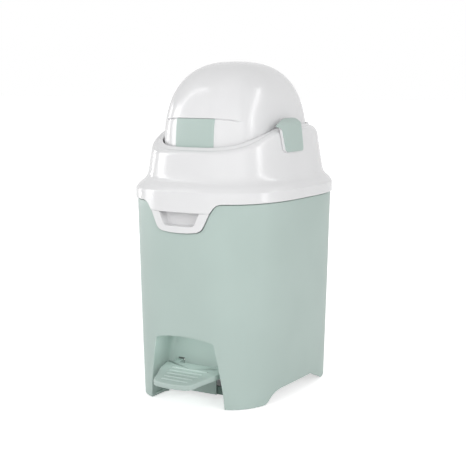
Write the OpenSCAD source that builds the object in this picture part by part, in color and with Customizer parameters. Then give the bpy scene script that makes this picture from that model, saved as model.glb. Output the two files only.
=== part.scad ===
// Pedal bin for nappies. Millimetres, +Z up, +X to the bin's own left as it faces -Y, front towards -Y.
// Every piece is drawn on the body's centre line and moved once by frame_shift, so that the origin
// is the bottom centre of the whole bin.

/* [Shell] */
// Half of the shell's width at its rim
shell_rim_half_w = 127; // [120:0.5:134]
// Half of the shell's depth at its rim
shell_rim_half_d = 171; // [162:0.5:180]
// How far each side of the shell leans in from its rim to the floor
shell_lean_w = 11.6; // [8:0.2:14]
// How far the front and the rear of the shell lean in from the rim to the floor
shell_lean_d = 14.2; // [10:0.2:18]
// Height of the shell's shoulder, where the neck starts
shell_h = 316; // [300:1:330]
// Height of the neck that the hood fits over
neck_h = 9; // [7:0.5:12]
// Wall of the shell
shell_wall = 2.5; // [2:0.1:3.2]
// Height of the open arches between the corner feet
arch_h = 20; // [12:0.5:26]
// Length of each side arch at the floor
arch_len = 189; // [160:1:210]
// Thickness of the rubber pads that stand proud under the corners
foot_pad_h = 4; // [3:0.5:6]

/* [Pedal niche] */
// Height of the niche
niche_h = 109; // [100:1:116]
// Half of the niche's width at the floor
niche_half_foot = 67.3; // [62:0.1:70]
// How far each side of the niche leans in over its height
niche_lean = 15.8; // [10:0.2:18]
// Radius of the niche's upper corners
niche_corner_r = 4; // [2:0.5:10]
// How far the niche's top falls from its middle to its corners
niche_crown = 5.4; // [0:0.2:8]
// Depth of the niche, from the shell's front at the rim to the niche's back face
niche_depth = 65; // [60:0.5:68]

/* [Hood] */
// How far the skirt stands out from the shell, to each side
skirt_proud_w = 3; // [2.6:0.1:4]
// How far the skirt stands out from the shell, to the front
skirt_proud_d = 2; // [1.8:0.1:3]
// Height of the skirt's straight band
skirt_h = 18; // [14:0.5:24]
// Wall of the hood
hood_wall = 2.2; // [1.8:0.1:2.4]
// Height of the hollow flare above the skirt
flare_h = 22.5; // [18:0.5:28]
// How far the flare draws in at the sides
flare_in_w = 15.6; // [13:0.2:18]
// How far the flare draws in at the front
flare_in_d = 18.5; // [16:0.2:20]
// Height of the hood's rim above the skirt at the front
rim_front_h = 56.3; // [50:0.1:60]
// Height of the hood's rim above the skirt at the sides and the rear
rim_rear_h = 89; // [86:0.1:92]
// How far the wall's centre is set back from the skirt's
wall_back = 2; // [0:0.5:4]
// How far the front lobe hangs below the skirt
lobe_h = 14.6; // [12:0.2:18]

/* [Dome] */
// Width of the hood's top between its wall's foot and the dome's opening, at the sides
deck_w = 22.4; // [20:0.2:26]
// The same at the front and the rear
deck_d = 23; // [20:0.2:26]
// Height of the dome above its widest level
dome_h = 138; // [120:1:150]
// Wall of the dome
dome_wall = 2.5; // [2:0.1:3]
// Gap between the dome and the hood's opening at the sides
dome_gap_w = 2; // [1.5:0.1:2.4]
// Gap between the dome and the hood's opening at the front and the rear
dome_gap_d = 1.5; // [1.3:0.1:2.5]
// Half of the width of the dome's front panel
panel_half_w = 72; // [60:1:76]
// Half of the width of the grip insert
insert_half_w = 34; // [24:1:44]
// Depth of the front panel's step
panel_step = 1.5; // [1:0.1:1.8]

/* [Pedal] */
// Gap at the floor's level between the pedal's back corners and the niche's sides
pedal_gap = 11.3; // [8:0.5:16]
// How far the pedal stands out in front of the shell's rim
pedal_proud = 29.6; // [20:0.2:36]
// Thickness of the pedal's edge
pedal_edge_h = 8; // [6:0.5:10]
// Number of grip ribs
rib_count = 5; // [3:1:7]
// Diameter of the pedal's shaft
shaft_d = 8; // [6:0.5:9]

/* [Linkage] */
// Diameter of the push rod
rod_d = 5; // [4:0.5:6]
// Gap between the bucket's side and the push rod's centre line
rod_gap = 5; // [4.5:0.5:6]
// Radius at which the rod lifts the crank
crank_r = 15; // [14:0.5:16]
// Diameter of the dome's stub axles
hub_d = 12; // [9:0.5:13]

/* [Bucket] */
// Space between the shell's rim and the bucket's mouth, at the sides
bucket_space_w = 27; // [26:0.5:29]
// The same at the front and the rear
bucket_space_d = 21; // [19:0.5:26]
// Wall of the bucket
bucket_wall = 2; // [1.6:0.1:2.4]
// Height of the bucket's floor
bucket_floor_z = 68; // [60:1:80]

/* [Hidden] */

shell_foot_half_w = shell_rim_half_w - shell_lean_w;
shell_foot_half_d = shell_rim_half_d - shell_lean_d;
niche_back = shell_rim_half_d - niche_depth;
bucket_half_w = shell_rim_half_w - bucket_space_w;
bucket_half_d = shell_rim_half_d - bucket_space_d;
rod_side = bucket_half_w + rod_gap;
pedal_half_w = niche_half_foot - pedal_gap;
pedal_reach = shell_rim_half_d + pedal_proud;

mint = "#bac8c4";
white = "#eeeeef";
steel = "#b4b7ba";
grey = "#6a6e72";

// Points on each ring of a lofted wall
ring_n = 72;
$fn = 48;
// Running clearance of a shaft, and the gap between fixed neighbours
run_gap = 0.05;
seat_gap = 0.3;
// Gap round the parts that sit in the shell's notch
notch_gap = 0.4;
// Length of a cutter that runs past the whole bin
far = 600;

// Exponents of the rounded-rectangle outlines: at the rim, at the floor and on the dome
n_rim = 2.95;
n_foot = 3.55;
n_dome = 3;

// Skirt and neck
skirt_z = shell_h + 1;
skirt_top = skirt_z + skirt_h;
skirt_a = shell_rim_half_w + skirt_proud_w;
skirt_b = shell_rim_half_d + skirt_proud_d;
neck_a = min(skirt_a - hood_wall, shell_rim_half_w) - 2.8;
neck_b = min(skirt_b - hood_wall, shell_rim_half_d) - 2.6;
flange_z = shell_h + neck_h;
flange_h = 2.5;
seal_h = 2.5;

// Hood
wall_z = skirt_top + flare_h;
wall_a0 = skirt_a - flare_in_w;
wall_b0 = skirt_b - flare_in_d;
wall_draft = 0.144;
rim_rise_start = -162.5;
rim_rise_end = -32.5;
shoulder_in = 8;
shoulder_h = 8;
shoulder_rear_in = 11;
shoulder_rear_h = 14;
deck_front_rise = 5.5;
deck_side_rise = 1.5;
deck_rise = 5;
lip_h = 5;
open_a = wall_a0 - deck_w;
open_b = wall_b0 - deck_d;
lobe_z = skirt_z - lobe_h;

// Dome
dome_half_w = open_a - dome_gap_w;
dome_half_d = open_b - dome_gap_d;
dome_z = skirt_top + 55;
dome_pow = 2.57;
crease_z = dome_z + 52;
pivot_y = -13;
pivot_z = dome_z + 18;

// Pivot hardware, measured outwards from the dome's side
boss_x0 = dome_half_w + 9.5;
boss_x1 = boss_x0 + 6;
bush_r = hub_d / 2 + 3;
crank_x0 = dome_half_w + 3.5;
crank_w = 4;
crank_end_r = 3.5;
crank_rest = 35;
pad_r = 3.5;
pad_x = dome_half_w + 5.5;

// Pedal and linkage
shaft_r = shaft_d / 2;
shaft_y = 21 - niche_back;
shaft_z = 30;
pedal_slope = 8.8;
pedal_front_z = 44;
pedal_back_y = -niche_back - 13;
arm_x = 34.5;
arm_w = 10;
lever_w = 6;
lever_end_r = 3.5;
rod_y = pivot_y - crank_r * cos(crank_rest) - 0.2;
rod_r = rod_d / 2;
rod_low_z = shaft_z + lever_end_r * 2 + 0.4;
rod_jog_z = flange_z + 8;
rod_jog_h = 12;
pad_z = pivot_z - crank_r * sin(crank_rest) - crank_end_r - 0.6;
guide_zs = [120, 270];
guide_h = 12;
spring_top = guide_zs[0] - guide_h / 2;
spring_low = spring_top - 44;

// Shaft bracket on the back of the niche's rear wall
rail_y = -niche_back + shell_wall + 0.1;
rail_t = 4;
rail_z0 = 8;
rail_z1 = 21;
ear_w = 8;
ear_xs = [8 - rod_side, -62, 54];
screw_r = 1.5;
bracket_screw_xs = [-50.2, -10, 10, 50.2];
shaft_x0 = -(rod_side + lever_w / 2 + 0.3);
shaft_x1 = ear_xs[2] + ear_w + 2;

// Hood hinge at the rear
hinge_y = shell_rim_half_d + 7;
hinge_z = skirt_z;
hinge_r = 4;
pin_r = 2;
hinge_half_w = 40;
knuckle_w = 13;
hinge_plate_t = 2.5;
leaf_screw_h = 13;
boss_y = shell_rim_half_d + 1;
frame_shift = (pedal_reach - hinge_y - hinge_r) / 2;

// Radius of a rounded-rectangle outline with half sizes a and b at angle t
function rr(a, b, n, t) = pow(pow(abs(cos(t)) / a, n) + pow(abs(sin(t)) / b, n), -1 / n);
function ring(a, b, n, z) =
    [for (i = [0 : ring_n - 1]) let (t = 360 * i / ring_n, r = rr(a, b, n, t)) [r * cos(t), r * sin(t), z]];
function mix(a, b, f) = a + (b - a) * f;
function smooth(f) = let (c = min(max(f, 0), 1)) c * c * (3 - 2 * c);
function flat(lists) = [for (l = lists) for (p = l) p];
function reversed(l) = [for (i = [len(l) - 1 : -1 : 0]) l[i]];
function mirrored(l) = concat(l, reversed([for (p = l) [-p[0], p[1]]]));

// Side walls between the rings of a loft, as triangles
function wall_faces(n, rings, closed) = [
    for (j = [0 : rings - (closed ? 1 : 2)]) for (i = [0 : n - 1])
        let (k = (j + 1) % rings, i2 = (i + 1) % n)
        each [[j * n + i, k * n + i, k * n + i2], [j * n + i, k * n + i2, j * n + i2]]];

// Solid wall whose rings run up the outside and back down the inside
module looped(rings)
    polyhedron(points = flat(rings), faces = wall_faces(len(rings[0]), len(rings), true), convexity = 10);

// Solid between the first and the last ring
module lofted(rings) {
    n = len(rings[0]);
    m = len(rings);
    polyhedron(
        points = flat(rings),
        faces = concat(wall_faces(n, m, false), [[for (i = [0 : n - 1]) i]],
            [[for (i = [n - 1 : -1 : 0]) (m - 1) * n + i]]),
        convexity = 10);
}

// Flat ring between two rounded-rectangle outlines
module band(a, b, n, t, z0, z1)
    translate([0, 0, z0]) linear_extrude(height = z1 - z0) difference() {
        polygon([for (p = ring(a, b, n, 0)) [p[0], p[1]]]);
        polygon([for (p = ring(a - t, b - t, n, 0)) [p[0], p[1]]]);
    }

// Outline in (x, z) carried from y0 to y1, and outline in (y, z) carried from x0 to x1
module along_y(y0, y1) translate([0, y1, 0]) rotate([90, 0, 0]) linear_extrude(height = y1 - y0) children();
module along_x(x0, x1) translate([x0, 0, 0]) rotate([90, 0, 90]) linear_extrude(height = x1 - x0) children();
module rod_x(x0, x1, y, z, r) translate([x0, y, z]) rotate([0, 90, 0]) cylinder(h = x1 - x0, r = r);
module rod_y_at(x, y0, y1, z, r) translate([x, y0, z]) rotate([-90, 0, 0]) cylinder(h = y1 - y0, r = r);

// Coil of round wire about +Z
module coil(r, wire_r, h, turns) {
    steps = 16;
    sides = 8;
    n = turns * steps;
    lofted([for (j = [0 : n])
        let (a = 360 * j / steps, z = wire_r + (h - 2 * wire_r) * j / n)
        [for (k = [0 : sides - 1]) let (s = -360 * k / sides, q = r + wire_r * cos(s))
            [q * cos(a), q * sin(a), z + wire_r * sin(s)]]]);
}

// ---- Shell ----
function shell_a(z) = mix(shell_foot_half_w, shell_rim_half_w, z / shell_h);
function shell_b(z) = mix(shell_foot_half_d, shell_rim_half_d, z / shell_h);
function shell_n(z) = mix(n_foot, n_rim, z / shell_h);
function shell_ring(z, inset) = ring(shell_a(z) - inset, shell_b(z) - inset, shell_n(z), z);
shell_zs = [1, 60, 120, 180, 240];

function niche_x(z) = niche_half_foot - niche_lean * pow(z / niche_h, 1.5);
// Right half of the niche's outline, grown by g, from the floor to the middle of its top
function niche_top(x) = niche_h - niche_crown * pow(x / 50, 2.2);
function niche_side(g) = let (z1 = niche_top(50) - niche_corner_r, cx = niche_x(z1) - niche_corner_r) concat(
    [[niche_half_foot + g, -5]],
    [for (k = [0 : 4]) let (z = z1 * k / 4) [niche_x(z) + g, z]],
    [for (a = [15 : 15 : 75]) [cx + (niche_corner_r + g) * cos(a), z1 + (niche_corner_r + g) * sin(a)]],
    [for (x = [40 : -10 : 0]) [x, niche_top(x) + g]]);
module niche_outline(g) polygon(mirrored(niche_side(g)));

// Right half of the front notch's outline, shrunk by g, from its top to the middle of its foot
function notch_side(g) = [
    [68 - g, flange_z + 8], [68 - g, skirt_z], [62 - g, skirt_z - 2.2], [57.7 - g, skirt_z - 6.5],
    [51 - g, skirt_z - 17], [43.5 - g, skirt_z - 32.5], [40.5 - g, skirt_z - 38.2],
    [36.5 - g, skirt_z - 42 + g / 2], [31 - g, skirt_z - 44.4 + g], [16, skirt_z - 46 + g],
    [0, skirt_z - 46.5 + g]];
module notch_outline(g) polygon(mirrored(notch_side(g)));

// Arch between two feet: flat on top, a steep curve at its first end, and a ramp or the same curve at its other
arch_end = 42;
arch_ramp_len = 48;
arch_curve = [[0, 0], [0.03, 0.045], [0.14, 0.14], [0.21, 0.3], [0.28, 0.45], [0.36, 0.6], [0.51, 0.79],
    [0.69, 0.91], [1, 1]];
arch_ramp = [[0, 0], [0.4, 0.4], [0.75, 0.71], [1, 1]];
function arch_side(half, len, curve) = concat(
    [[half, -5]],
    [for (p = curve) [half - len * p[0], 1 + (arch_h - 1) * p[1]]]);
module arch_outline(half, len, curve)
    polygon(concat([for (p = arch_side(half, arch_end, arch_curve)) [-p[0], p[1]]],
        reversed(arch_side(half, len, curve))));
arch_mid = -2.5;
rear_arch_half = 78;
slot_x0 = 25;
slot_x1 = 48;
slot_top = 60;
rear_wall_z0 = 7.5;

module outer_shell() color(mint) placed() {
    difference() {
        union() {
            looped(concat(
                [for (z = shell_zs) shell_ring(z, 0)],
                [shell_ring(shell_h, 0), ring(neck_a, neck_b, n_rim, shell_h), ring(neck_a, neck_b, n_rim, flange_z),
                    ring(neck_a - shell_wall, neck_b - shell_wall, n_rim, flange_z),
                    ring(neck_a - shell_wall, neck_b - shell_wall, n_rim, shell_h - shell_wall),
                    ring(shell_rim_half_w - shell_wall, shell_rim_half_d - shell_wall, n_rim, shell_h - 6)],
                [for (z = reversed(shell_zs)) shell_ring(z, shell_wall)]));
            intersection() {
                along_y(-shell_rim_half_d, -niche_back + shell_wall) niche_outline(shell_wall);
                lofted([for (z = shell_zs) shell_ring(z, shell_wall / 2)]);
            }
            hinge_seat();
            foot_shelves();
        }
        along_y(-shell_rim_half_d - 5, -niche_back) niche_outline(0);
        along_y(-shell_rim_half_d - 5, -neck_b + 25) notch_outline(0);
        translate([0, arch_mid, 0]) along_x(-shell_rim_half_w, shell_rim_half_w)
            arch_outline(arch_len / 2, arch_ramp_len, arch_ramp);
        along_y(shell_foot_half_d / 2, shell_rim_half_d) arch_outline(rear_arch_half, arch_end, arch_curve);
        // The niche's rear wall stops above the floor, and has a slot for each arm of the pedal
        translate([-niche_half_foot - 10, -niche_back - 1, -1])
            cube([2 * niche_half_foot + 20, shell_wall + 2, rear_wall_z0 + 1]);
        for (s = [-1, 1]) translate([s * (slot_x0 + slot_x1) / 2, -niche_back + shell_wall / 2, slot_top / 2])
            cube([slot_x1 - slot_x0, shell_wall + 2, slot_top], center = true);
        for (x = bracket_screw_xs)
            rod_y_at(x, -niche_back + 0.5, -niche_back + shell_wall + 1, (rail_z0 + rail_z1) / 2, screw_r + run_gap);
        hinge_screw_holes(hinge_z - 15, boss_y - 7, boss_y + 1);
    }
}

// Flat seat for the hinge on the shell's rear wall
module hinge_seat()
    translate([-hinge_half_w - 3, shell_rim_half_d - 9, hinge_z - 24])
        cube([2 * hinge_half_w + 6, 10, 19]);

// Shelf inside each corner, which carries a rubber pad between the niche's side and the shell's corner
foot_gap = 2.5;
foot_y = shell_foot_half_d - 34.8;
foot_x0 = niche_half_foot + shell_wall;
foot_x1 = shell_foot_half_w * pow(1 - pow((foot_y + 6.4) / shell_foot_half_d, n_foot), 1 / n_foot) - shell_wall;
foot_x = (foot_x0 + foot_x1) / 2;
foot_r = (foot_x1 - foot_x0) / 2 - foot_gap;
shelf_half = foot_r + 8;
module foot_shelves()
    intersection() {
        union() {
            for (sx = [-1, 1]) for (sy = [-1, 1])
                translate([sx * foot_x - shelf_half, sy * foot_y - shelf_half, foot_pad_h])
                    cube([2 * shelf_half, 2 * shelf_half, 2.5]);
        }
        lofted([for (z = [1, 60]) shell_ring(z, shell_wall / 2)]);
    }

module rubber_feet() color(grey) placed()
    for (sx = [-1, 1]) for (sy = [-1, 1])
        translate([sx * foot_x, sy * foot_y, 0]) cylinder(h = foot_pad_h, r = foot_r);

// ---- Bucket ----
bucket_foot_in_w = 6;
bucket_foot_in_d = 12;
step_y = -niche_back + 8;
step_z = niche_h + shell_wall + 0.8;
function bucket_ring(z, inset) = let (f = (z - bucket_floor_z) / (flange_z - bucket_floor_z)) ring(
    mix(bucket_half_w - bucket_foot_in_w, bucket_half_w, f) - inset,
    mix(bucket_half_d - bucket_foot_in_d, bucket_half_d, f) - inset, n_rim, z);
// Full form of the bucket, in by inset, from its floor up, stepped over the pedal's niche
module bucket_form(inset, z0, z1)
    difference() {
        lofted([bucket_ring(z0, inset), bucket_ring(z1, inset)]);
        translate([-far, -far, -far]) cube([2 * far, far + step_y + inset, far + step_z + inset]);
    }

apron_t = 2.4;
pocket_half_w = 34;
pocket_foot_half_w = 26;
pocket_z0 = lobe_z - 21;
pocket_back = -neck_b + 11;
function pocket_side(g) = [[pocket_half_w + 2 + g, lobe_z + 9 + g], [pocket_half_w + 2 + g, lobe_z],
    [pocket_half_w - 5 + g, lobe_z - 15], [pocket_foot_half_w + g * 0.7, pocket_z0 + 1.5 - g * 0.7],
    [pocket_foot_half_w - 5, pocket_z0 - g]];
module pocket_outline(g) polygon(mirrored(pocket_side(g)));

module inner_bucket() color(white) placed() {
    difference() {
        union() {
            difference() {
                bucket_form(0, bucket_floor_z, flange_z + flange_h);
                bucket_form(bucket_wall, bucket_floor_z + bucket_wall, flange_z + flange_h + 1);
            }
            difference() {
                band(neck_a + 1, neck_b + 1, n_rim, neck_a, flange_z, flange_z + flange_h);
                lofted([bucket_ring(flange_z - 1, 1), bucket_ring(flange_z + flange_h + 1, 1)]);
            }
            apron();
        }
        translate([-rod_side, rod_y, flange_z - 1]) cylinder(h = flange_h + 2, r = rod_r + 1.5);
    }
}

// Front of the bucket's flange: it hangs in the shell's notch and holds the finger pocket
module apron() {
    difference() {
        intersection() {
            union() {
                band(skirt_a, skirt_b, n_rim, apron_t, skirt_z - 50, lobe_z - notch_gap);
                band(skirt_a, skirt_b, n_rim, skirt_a - neck_a + 4, lobe_z - apron_t - notch_gap, lobe_z - notch_gap);
                band(neck_a, neck_b, n_rim, shell_wall, lobe_z - 2, flange_z);
            }
            along_y(-far, 0) notch_outline(notch_gap);
        }
        along_y(-far, 0) pocket_outline(0);
    }
    difference() {
        along_y(-skirt_b + 1.6, pocket_back + bucket_wall) pocket_outline(bucket_wall);
        along_y(-far, pocket_back) pocket_outline(0);
        // Nothing of the pocket's walls stands in the lobe's place
        translate([-far, -far, lobe_z - notch_gap]) cube([2 * far, far - neck_b, far]);
    }
}

bag_ring_w = 3.5;
bag_ring_drop = 12;
module bag_ring() color(white) placed()
    band(bucket_half_w - bucket_wall - seat_gap - 0.4, bucket_half_d - bucket_wall - seat_gap - 0.8, n_rim, bag_ring_w,
        flange_z - bag_ring_drop, flange_z + flange_h);

seal_in_w = 6;
seal_in_d = 9;
module rim_seal() color(grey) placed()
    band(neck_a - seal_in_w, neck_b - seal_in_d, n_rim, 4, flange_z + flange_h, flange_z + flange_h + seal_h);

// ---- Pedal's shaft and its bracket ----
module ear_outline()
    union() {
        polygon([[rail_y + 1, rail_z0], [rail_y + 1, rail_z1], [shaft_y - 6, shaft_z + 6], [shaft_y, shaft_z - 9],
            [rail_y + rail_t + 4, rail_z0]]);
        translate([shaft_y, shaft_z]) circle(r = 9);
    }

module shaft_bracket() color(steel) placed()
    difference() {
        union() {
            translate([ear_xs[0], rail_y, rail_z0]) cube([ear_xs[2] + ear_w - ear_xs[0], rail_t, rail_z1 - rail_z0]);
            for (x = ear_xs) along_x(x, x + ear_w) ear_outline();
        }
        rod_x(-far, far, shaft_y, shaft_z, shaft_r + run_gap);
        for (x = bracket_screw_xs)
            rod_y_at(x, rail_y - 1, rail_y + rail_t + 1, (rail_z0 + rail_z1) / 2, screw_r + run_gap);
    }

module screw(shank) {
    cylinder(h = shank, r = screw_r);
    translate([0, 0, shank]) cylinder(h = 2.2, r = 3.2);
}

module shaft_bracket_screws() color(steel) placed()
    for (x = bracket_screw_xs)
        translate([x, -niche_back + 0.6, (rail_z0 + rail_z1) / 2]) rotate([-90, 0, 0])
            screw(rail_y + rail_t + niche_back - 0.6);

module pedal_shaft() color(steel) placed() rod_x(shaft_x0, shaft_x1, shaft_y, shaft_z, shaft_r);

module shaft_clips() color(grey) placed()
    for (x = [ear_xs[0] - 1.2, ear_xs[2] + ear_w + 0.3])
        difference() {
            rod_x(x, x + 0.9, shaft_y, shaft_z, shaft_r + 2.5);
            rod_x(x - 1, x + 3, shaft_y, shaft_z, shaft_r + run_gap / 2);
        }

// ---- Pedal ----
// Right half of the pedal's outline seen from above, shrunk by g
function pedal_side(g) = [[pedal_half_w - g, pedal_back_y - g], [pedal_half_w - 4.6 - g, 51.6 - pedal_reach],
    [pedal_half_w - 9 - g, 42.6 - pedal_reach], [pedal_half_w - 16 - g, 24.6 - pedal_reach],
    [pedal_half_w - 19 - g, 13.6 - pedal_reach],
    [pedal_half_w - 23 - g, 6 - pedal_reach + g], [pedal_half_w - 30 - g, 2.6 - pedal_reach + g],
    [14, 0.9 - pedal_reach + g], [0, g - pedal_reach]];

// Plate on the pedal's slope: its top at the front edge is pedal_front_z above the floor
module on_slope()
    translate([0, -pedal_reach, pedal_front_z]) rotate([pedal_slope, 0, 0]) translate([0, pedal_reach, 0]) children();

rib_pitch = 10.7;
rib_first_y = 16 - pedal_reach;
rib_r = 1.7;
arm_profile = [[pedal_back_y - 14, 44], [pedal_back_y - 14, 52], [pedal_back_y + 3, 57.5], [pedal_back_y + 11, 58],
    [pedal_back_y + 21, 52], [shaft_y + 5.4, shaft_z + 8.4], [shaft_y - 5, shaft_z - 8.7], [pedal_back_y + 11, 34]];

module pedal() color(mint) placed()
    difference() {
        union() {
            on_slope() difference() {
                translate([0, 0, -pedal_edge_h]) linear_extrude(height = pedal_edge_h) polygon(mirrored(pedal_side(0)));
                translate([0, 0, -pedal_edge_h - 1]) linear_extrude(height = pedal_edge_h - 2)
                    polygon(mirrored(pedal_side(2.8)));
            }
            on_slope() for (k = [0 : rib_count - 1]) let (y = rib_first_y + k * rib_pitch, half = 24 + 2.2 * k)
                rod_x(-half, half, y, -0.4, rib_r);
            for (x = [-arm_x - arm_w, arm_x]) {
                along_x(x, x + arm_w) polygon(arm_profile);
                rod_x(x, x + arm_w, shaft_y, shaft_z, 10);
            }
        }
        rod_x(-far, far, shaft_y, shaft_z, shaft_r + run_gap / 2);
    }

module lift_lever() color(steel) placed()
    difference() {
        union() {
            along_x(-rod_side - lever_w / 2, -rod_side + lever_w / 2) union() {
                translate([shaft_y, shaft_z]) circle(r = 8);
                translate([rod_y, shaft_z + lever_end_r]) circle(r = lever_end_r);
                polygon([[shaft_y, shaft_z - 7], [rod_y - 0.6, shaft_z + lever_end_r - 3],
                    [rod_y - 0.6, shaft_z + lever_end_r + 3], [shaft_y, shaft_z + 7]]);
            }
        }
        rod_x(-far, far, shaft_y, shaft_z, shaft_r + run_gap / 2);
    }

// ---- Push rod ----
module push_rod() color(steel) placed() {
    jog = rod_side - pad_x;
    translate([-rod_side, rod_y, rod_low_z + 2.5]) cylinder(h = rod_jog_z - rod_low_z - 2.5, r = rod_r);
    translate([-rod_side, rod_y, rod_jog_z]) sphere(r = rod_r);
    translate([-rod_side, rod_y, rod_jog_z]) rotate([0, atan(jog / rod_jog_h), 0])
        cylinder(h = sqrt(jog * jog + rod_jog_h * rod_jog_h), r = rod_r);
    translate([-pad_x, rod_y, rod_jog_z + rod_jog_h]) sphere(r = rod_r);
    translate([-pad_x, rod_y, rod_jog_z + rod_jog_h]) cylinder(h = pad_z - 3 - rod_jog_z - rod_jog_h, r = rod_r);
}

module rod_foot() color(grey) placed()
    translate([-rod_side, rod_y, rod_low_z]) difference() {
        cylinder(h = 7, r = rod_r + 2);
        translate([0, 0, 2.5]) cylinder(h = 6, r = rod_r + run_gap / 2);
    }

module rod_pad() color(grey) placed()
    translate([-pad_x, rod_y, pad_z - 8]) difference() {
        cylinder(h = 8, r = pad_r);
        translate([0, 0, -1]) cylinder(h = 6, r = rod_r + run_gap / 2);
    }

module spring_collar() color(steel) placed()
    translate([-rod_side, rod_y, spring_low - 3]) difference() {
        cylinder(h = 3, r = rod_r + 3);
        translate([0, 0, -1]) cylinder(h = 5, r = rod_r + run_gap / 2);
    }

module return_spring() color(steel) placed()
    translate([-rod_side, rod_y, spring_low + 0.1]) coil(rod_r + 1.6, 0.6, spring_top - spring_low - 0.2, 9);

module rod_guides() color(white) placed()
    for (z = guide_zs)
        difference() {
            translate([-shell_a(z - guide_h / 2) + shell_wall + 0.2, rod_y - 8, z - guide_h / 2])
                cube([shell_a(z - guide_h / 2) - shell_wall - 0.2 - rod_side + rod_r + 1.6, 16, guide_h]);
            translate([-rod_side, rod_y, z - guide_h]) cylinder(h = 2 * guide_h, r = rod_r + 0.1);
        }

// ---- Hood hinge ----
module hinge_screw_holes(z, y0, y1)
    for (s = [-1, 1]) for (k = [0.42, 0.85]) rod_y_at(s * k * hinge_half_w, y0, y1, z, screw_r + run_gap);

module hinge_screw_set(z, y)
    for (s = [-1, 1]) for (k = [0.42, 0.85]) translate([s * k * hinge_half_w, y, z]) rotate([-90, 0, 0]) screw(6.5);

// Knuckle with its web down or up to a plate
module knuckle(x0, x1, side) {
    rod_x(x0, x1, hinge_y, hinge_z, hinge_r);
    along_x(x0, x1) polygon([[boss_y + 2.2, hinge_z], [hinge_y + 2.5, hinge_z + side * 3],
        [boss_y + hinge_plate_t, hinge_z + side * 10], [boss_y + 2.2, hinge_z + side * 10]]);
}

module hinge_bracket() color(steel) placed()
    difference() {
        union() {
            translate([-hinge_half_w, boss_y, hinge_z - 22]) cube([2 * hinge_half_w, hinge_plate_t, 16]);
            for (s = [-1, 1]) knuckle(s * 20.3 - knuckle_w / 2 + 0.2, s * 20.3 + knuckle_w / 2 - 0.2, -1);
        }
        rod_x(-far, far, hinge_y, hinge_z, pin_r + run_gap);
        hinge_screw_holes(hinge_z - 15, boss_y - 1, boss_y + 6);
    }

module hinge_bracket_screws() color(steel) placed() hinge_screw_set(hinge_z - 15, boss_y + hinge_plate_t - 6.5);

module hood_leaf() color(steel) placed()
    difference() {
        union() {
            translate([-hinge_half_w, skirt_b + 1, hinge_z + 5]) cube([2 * hinge_half_w, hinge_plate_t, 12]);
            for (x = [-33.8, 0, 33.8]) {
                rod_x(x - knuckle_w / 2 + 0.2, x + knuckle_w / 2 - 0.2, hinge_y, hinge_z, hinge_r);
                along_x(x - knuckle_w / 2 + 0.2, x + knuckle_w / 2 - 0.2)
                    polygon([[hinge_y - 2.6, hinge_z + 2.4], [hinge_y + 3.2, hinge_z + 2], [skirt_b + 1 + hinge_plate_t,
                        hinge_z + 9], [skirt_b + 1.2, hinge_z + 9], [skirt_b + 1.2, hinge_z + 5]]);
            }
        }
        rod_x(-far, far, hinge_y, hinge_z, pin_r + run_gap);
        hinge_screw_holes(hinge_z + leaf_screw_h, skirt_b - 1, skirt_b + 6);
    }

module hood_leaf_screws() color(steel) placed()
    hinge_screw_set(hinge_z + leaf_screw_h, skirt_b + 1 + hinge_plate_t - 6.5);

module hinge_pin() color(steel) placed() rod_x(-hinge_half_w - 1.5, hinge_half_w + 1.5, hinge_y, hinge_z, pin_r);

// ---- Hood ----
function rim_z(y) = skirt_top
    + mix(rim_front_h, rim_rear_h, smooth((y - rim_rise_start) / (rim_rise_end - rim_rise_start)));
rim_mid_z = skirt_top + 70;
function wall_a(z) = wall_a0 - wall_draft * (z - wall_z);
function wall_b(z) = wall_b0 - wall_draft * (z - wall_z);
// Height of the rim, and place along y, on the side that angle t faces
function rim_y(t) = rr(wall_a(rim_mid_z), wall_b(rim_mid_z), n_rim, t) * sin(t);
function set_back(ring, by) = [for (p = ring) p + [0, by, 0]];
// Ring of the hood's wall: inset from the wall's face, at a share f of the height up to the rim, and dz above that
function hood_ring(inset, f, dz) = set_back([for (i = [0 : ring_n - 1])
    let (t = 360 * i / ring_n, z = mix(wall_z, rim_z(rim_y(t)), f) + dz,
        r = rr(wall_a(z) - inset, wall_b(z) - inset, n_rim, t))
    [r * cos(t), r * sin(t), z]], wall_back);
// Ring of the rounded shoulder, which is larger at the rear, at angle a of its curve and in by a wall
function shoulder_ring(a, wall) = set_back([for (i = [0 : ring_n - 1])
    let (t = 360 * i / ring_n, w = smooth((rim_y(t) - 20) / 80), sx = mix(shoulder_in, shoulder_rear_in, w),
        sz = mix(shoulder_h, shoulder_rear_h, w), z = rim_z(rim_y(t)) + 1 - sz + (sz - wall) * sin(a),
        inset = wall + (sx - wall) * (1 - cos(a)), r = rr(wall_a(z) - inset, wall_b(z) - inset, n_rim, t))
    [r * cos(t), r * sin(t), z]], wall_back);
// How far the deck rises from the rim to the opening's edge
function deck_up(y) = mix(deck_front_rise, deck_side_rise, smooth((y + 115) / 55))
    + (deck_rise - deck_side_rise) * smooth((y + 40) / 35);
// Ring of the opening's edge, grown by g, dz above the edge
function edge_ring(g, dz) = [for (i = [0 : ring_n - 1])
    let (t = 360 * i / ring_n, r = rr(open_a + g, open_b + g, n_dome, t))
    [r * cos(t), r * sin(t), rim_z(rim_y(t)) + deck_up(rim_y(t)) + dz]];
// Ring of the flare: half sizes a share f of the way from the skirt to the wall
function flare_ring(f, h, inset) = set_back(ring(mix(skirt_a, wall_a0, f) - inset,
    mix(skirt_b, wall_b0, f) - inset, n_rim, skirt_top + h * flare_h), f * wall_back);
flare_steps = [[0, 0], [0.2, 0.14], [0.38, 0.29], [0.56, 0.4], [0.7, 0.5], [0.84, 0.64], [0.93, 0.8]];

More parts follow.
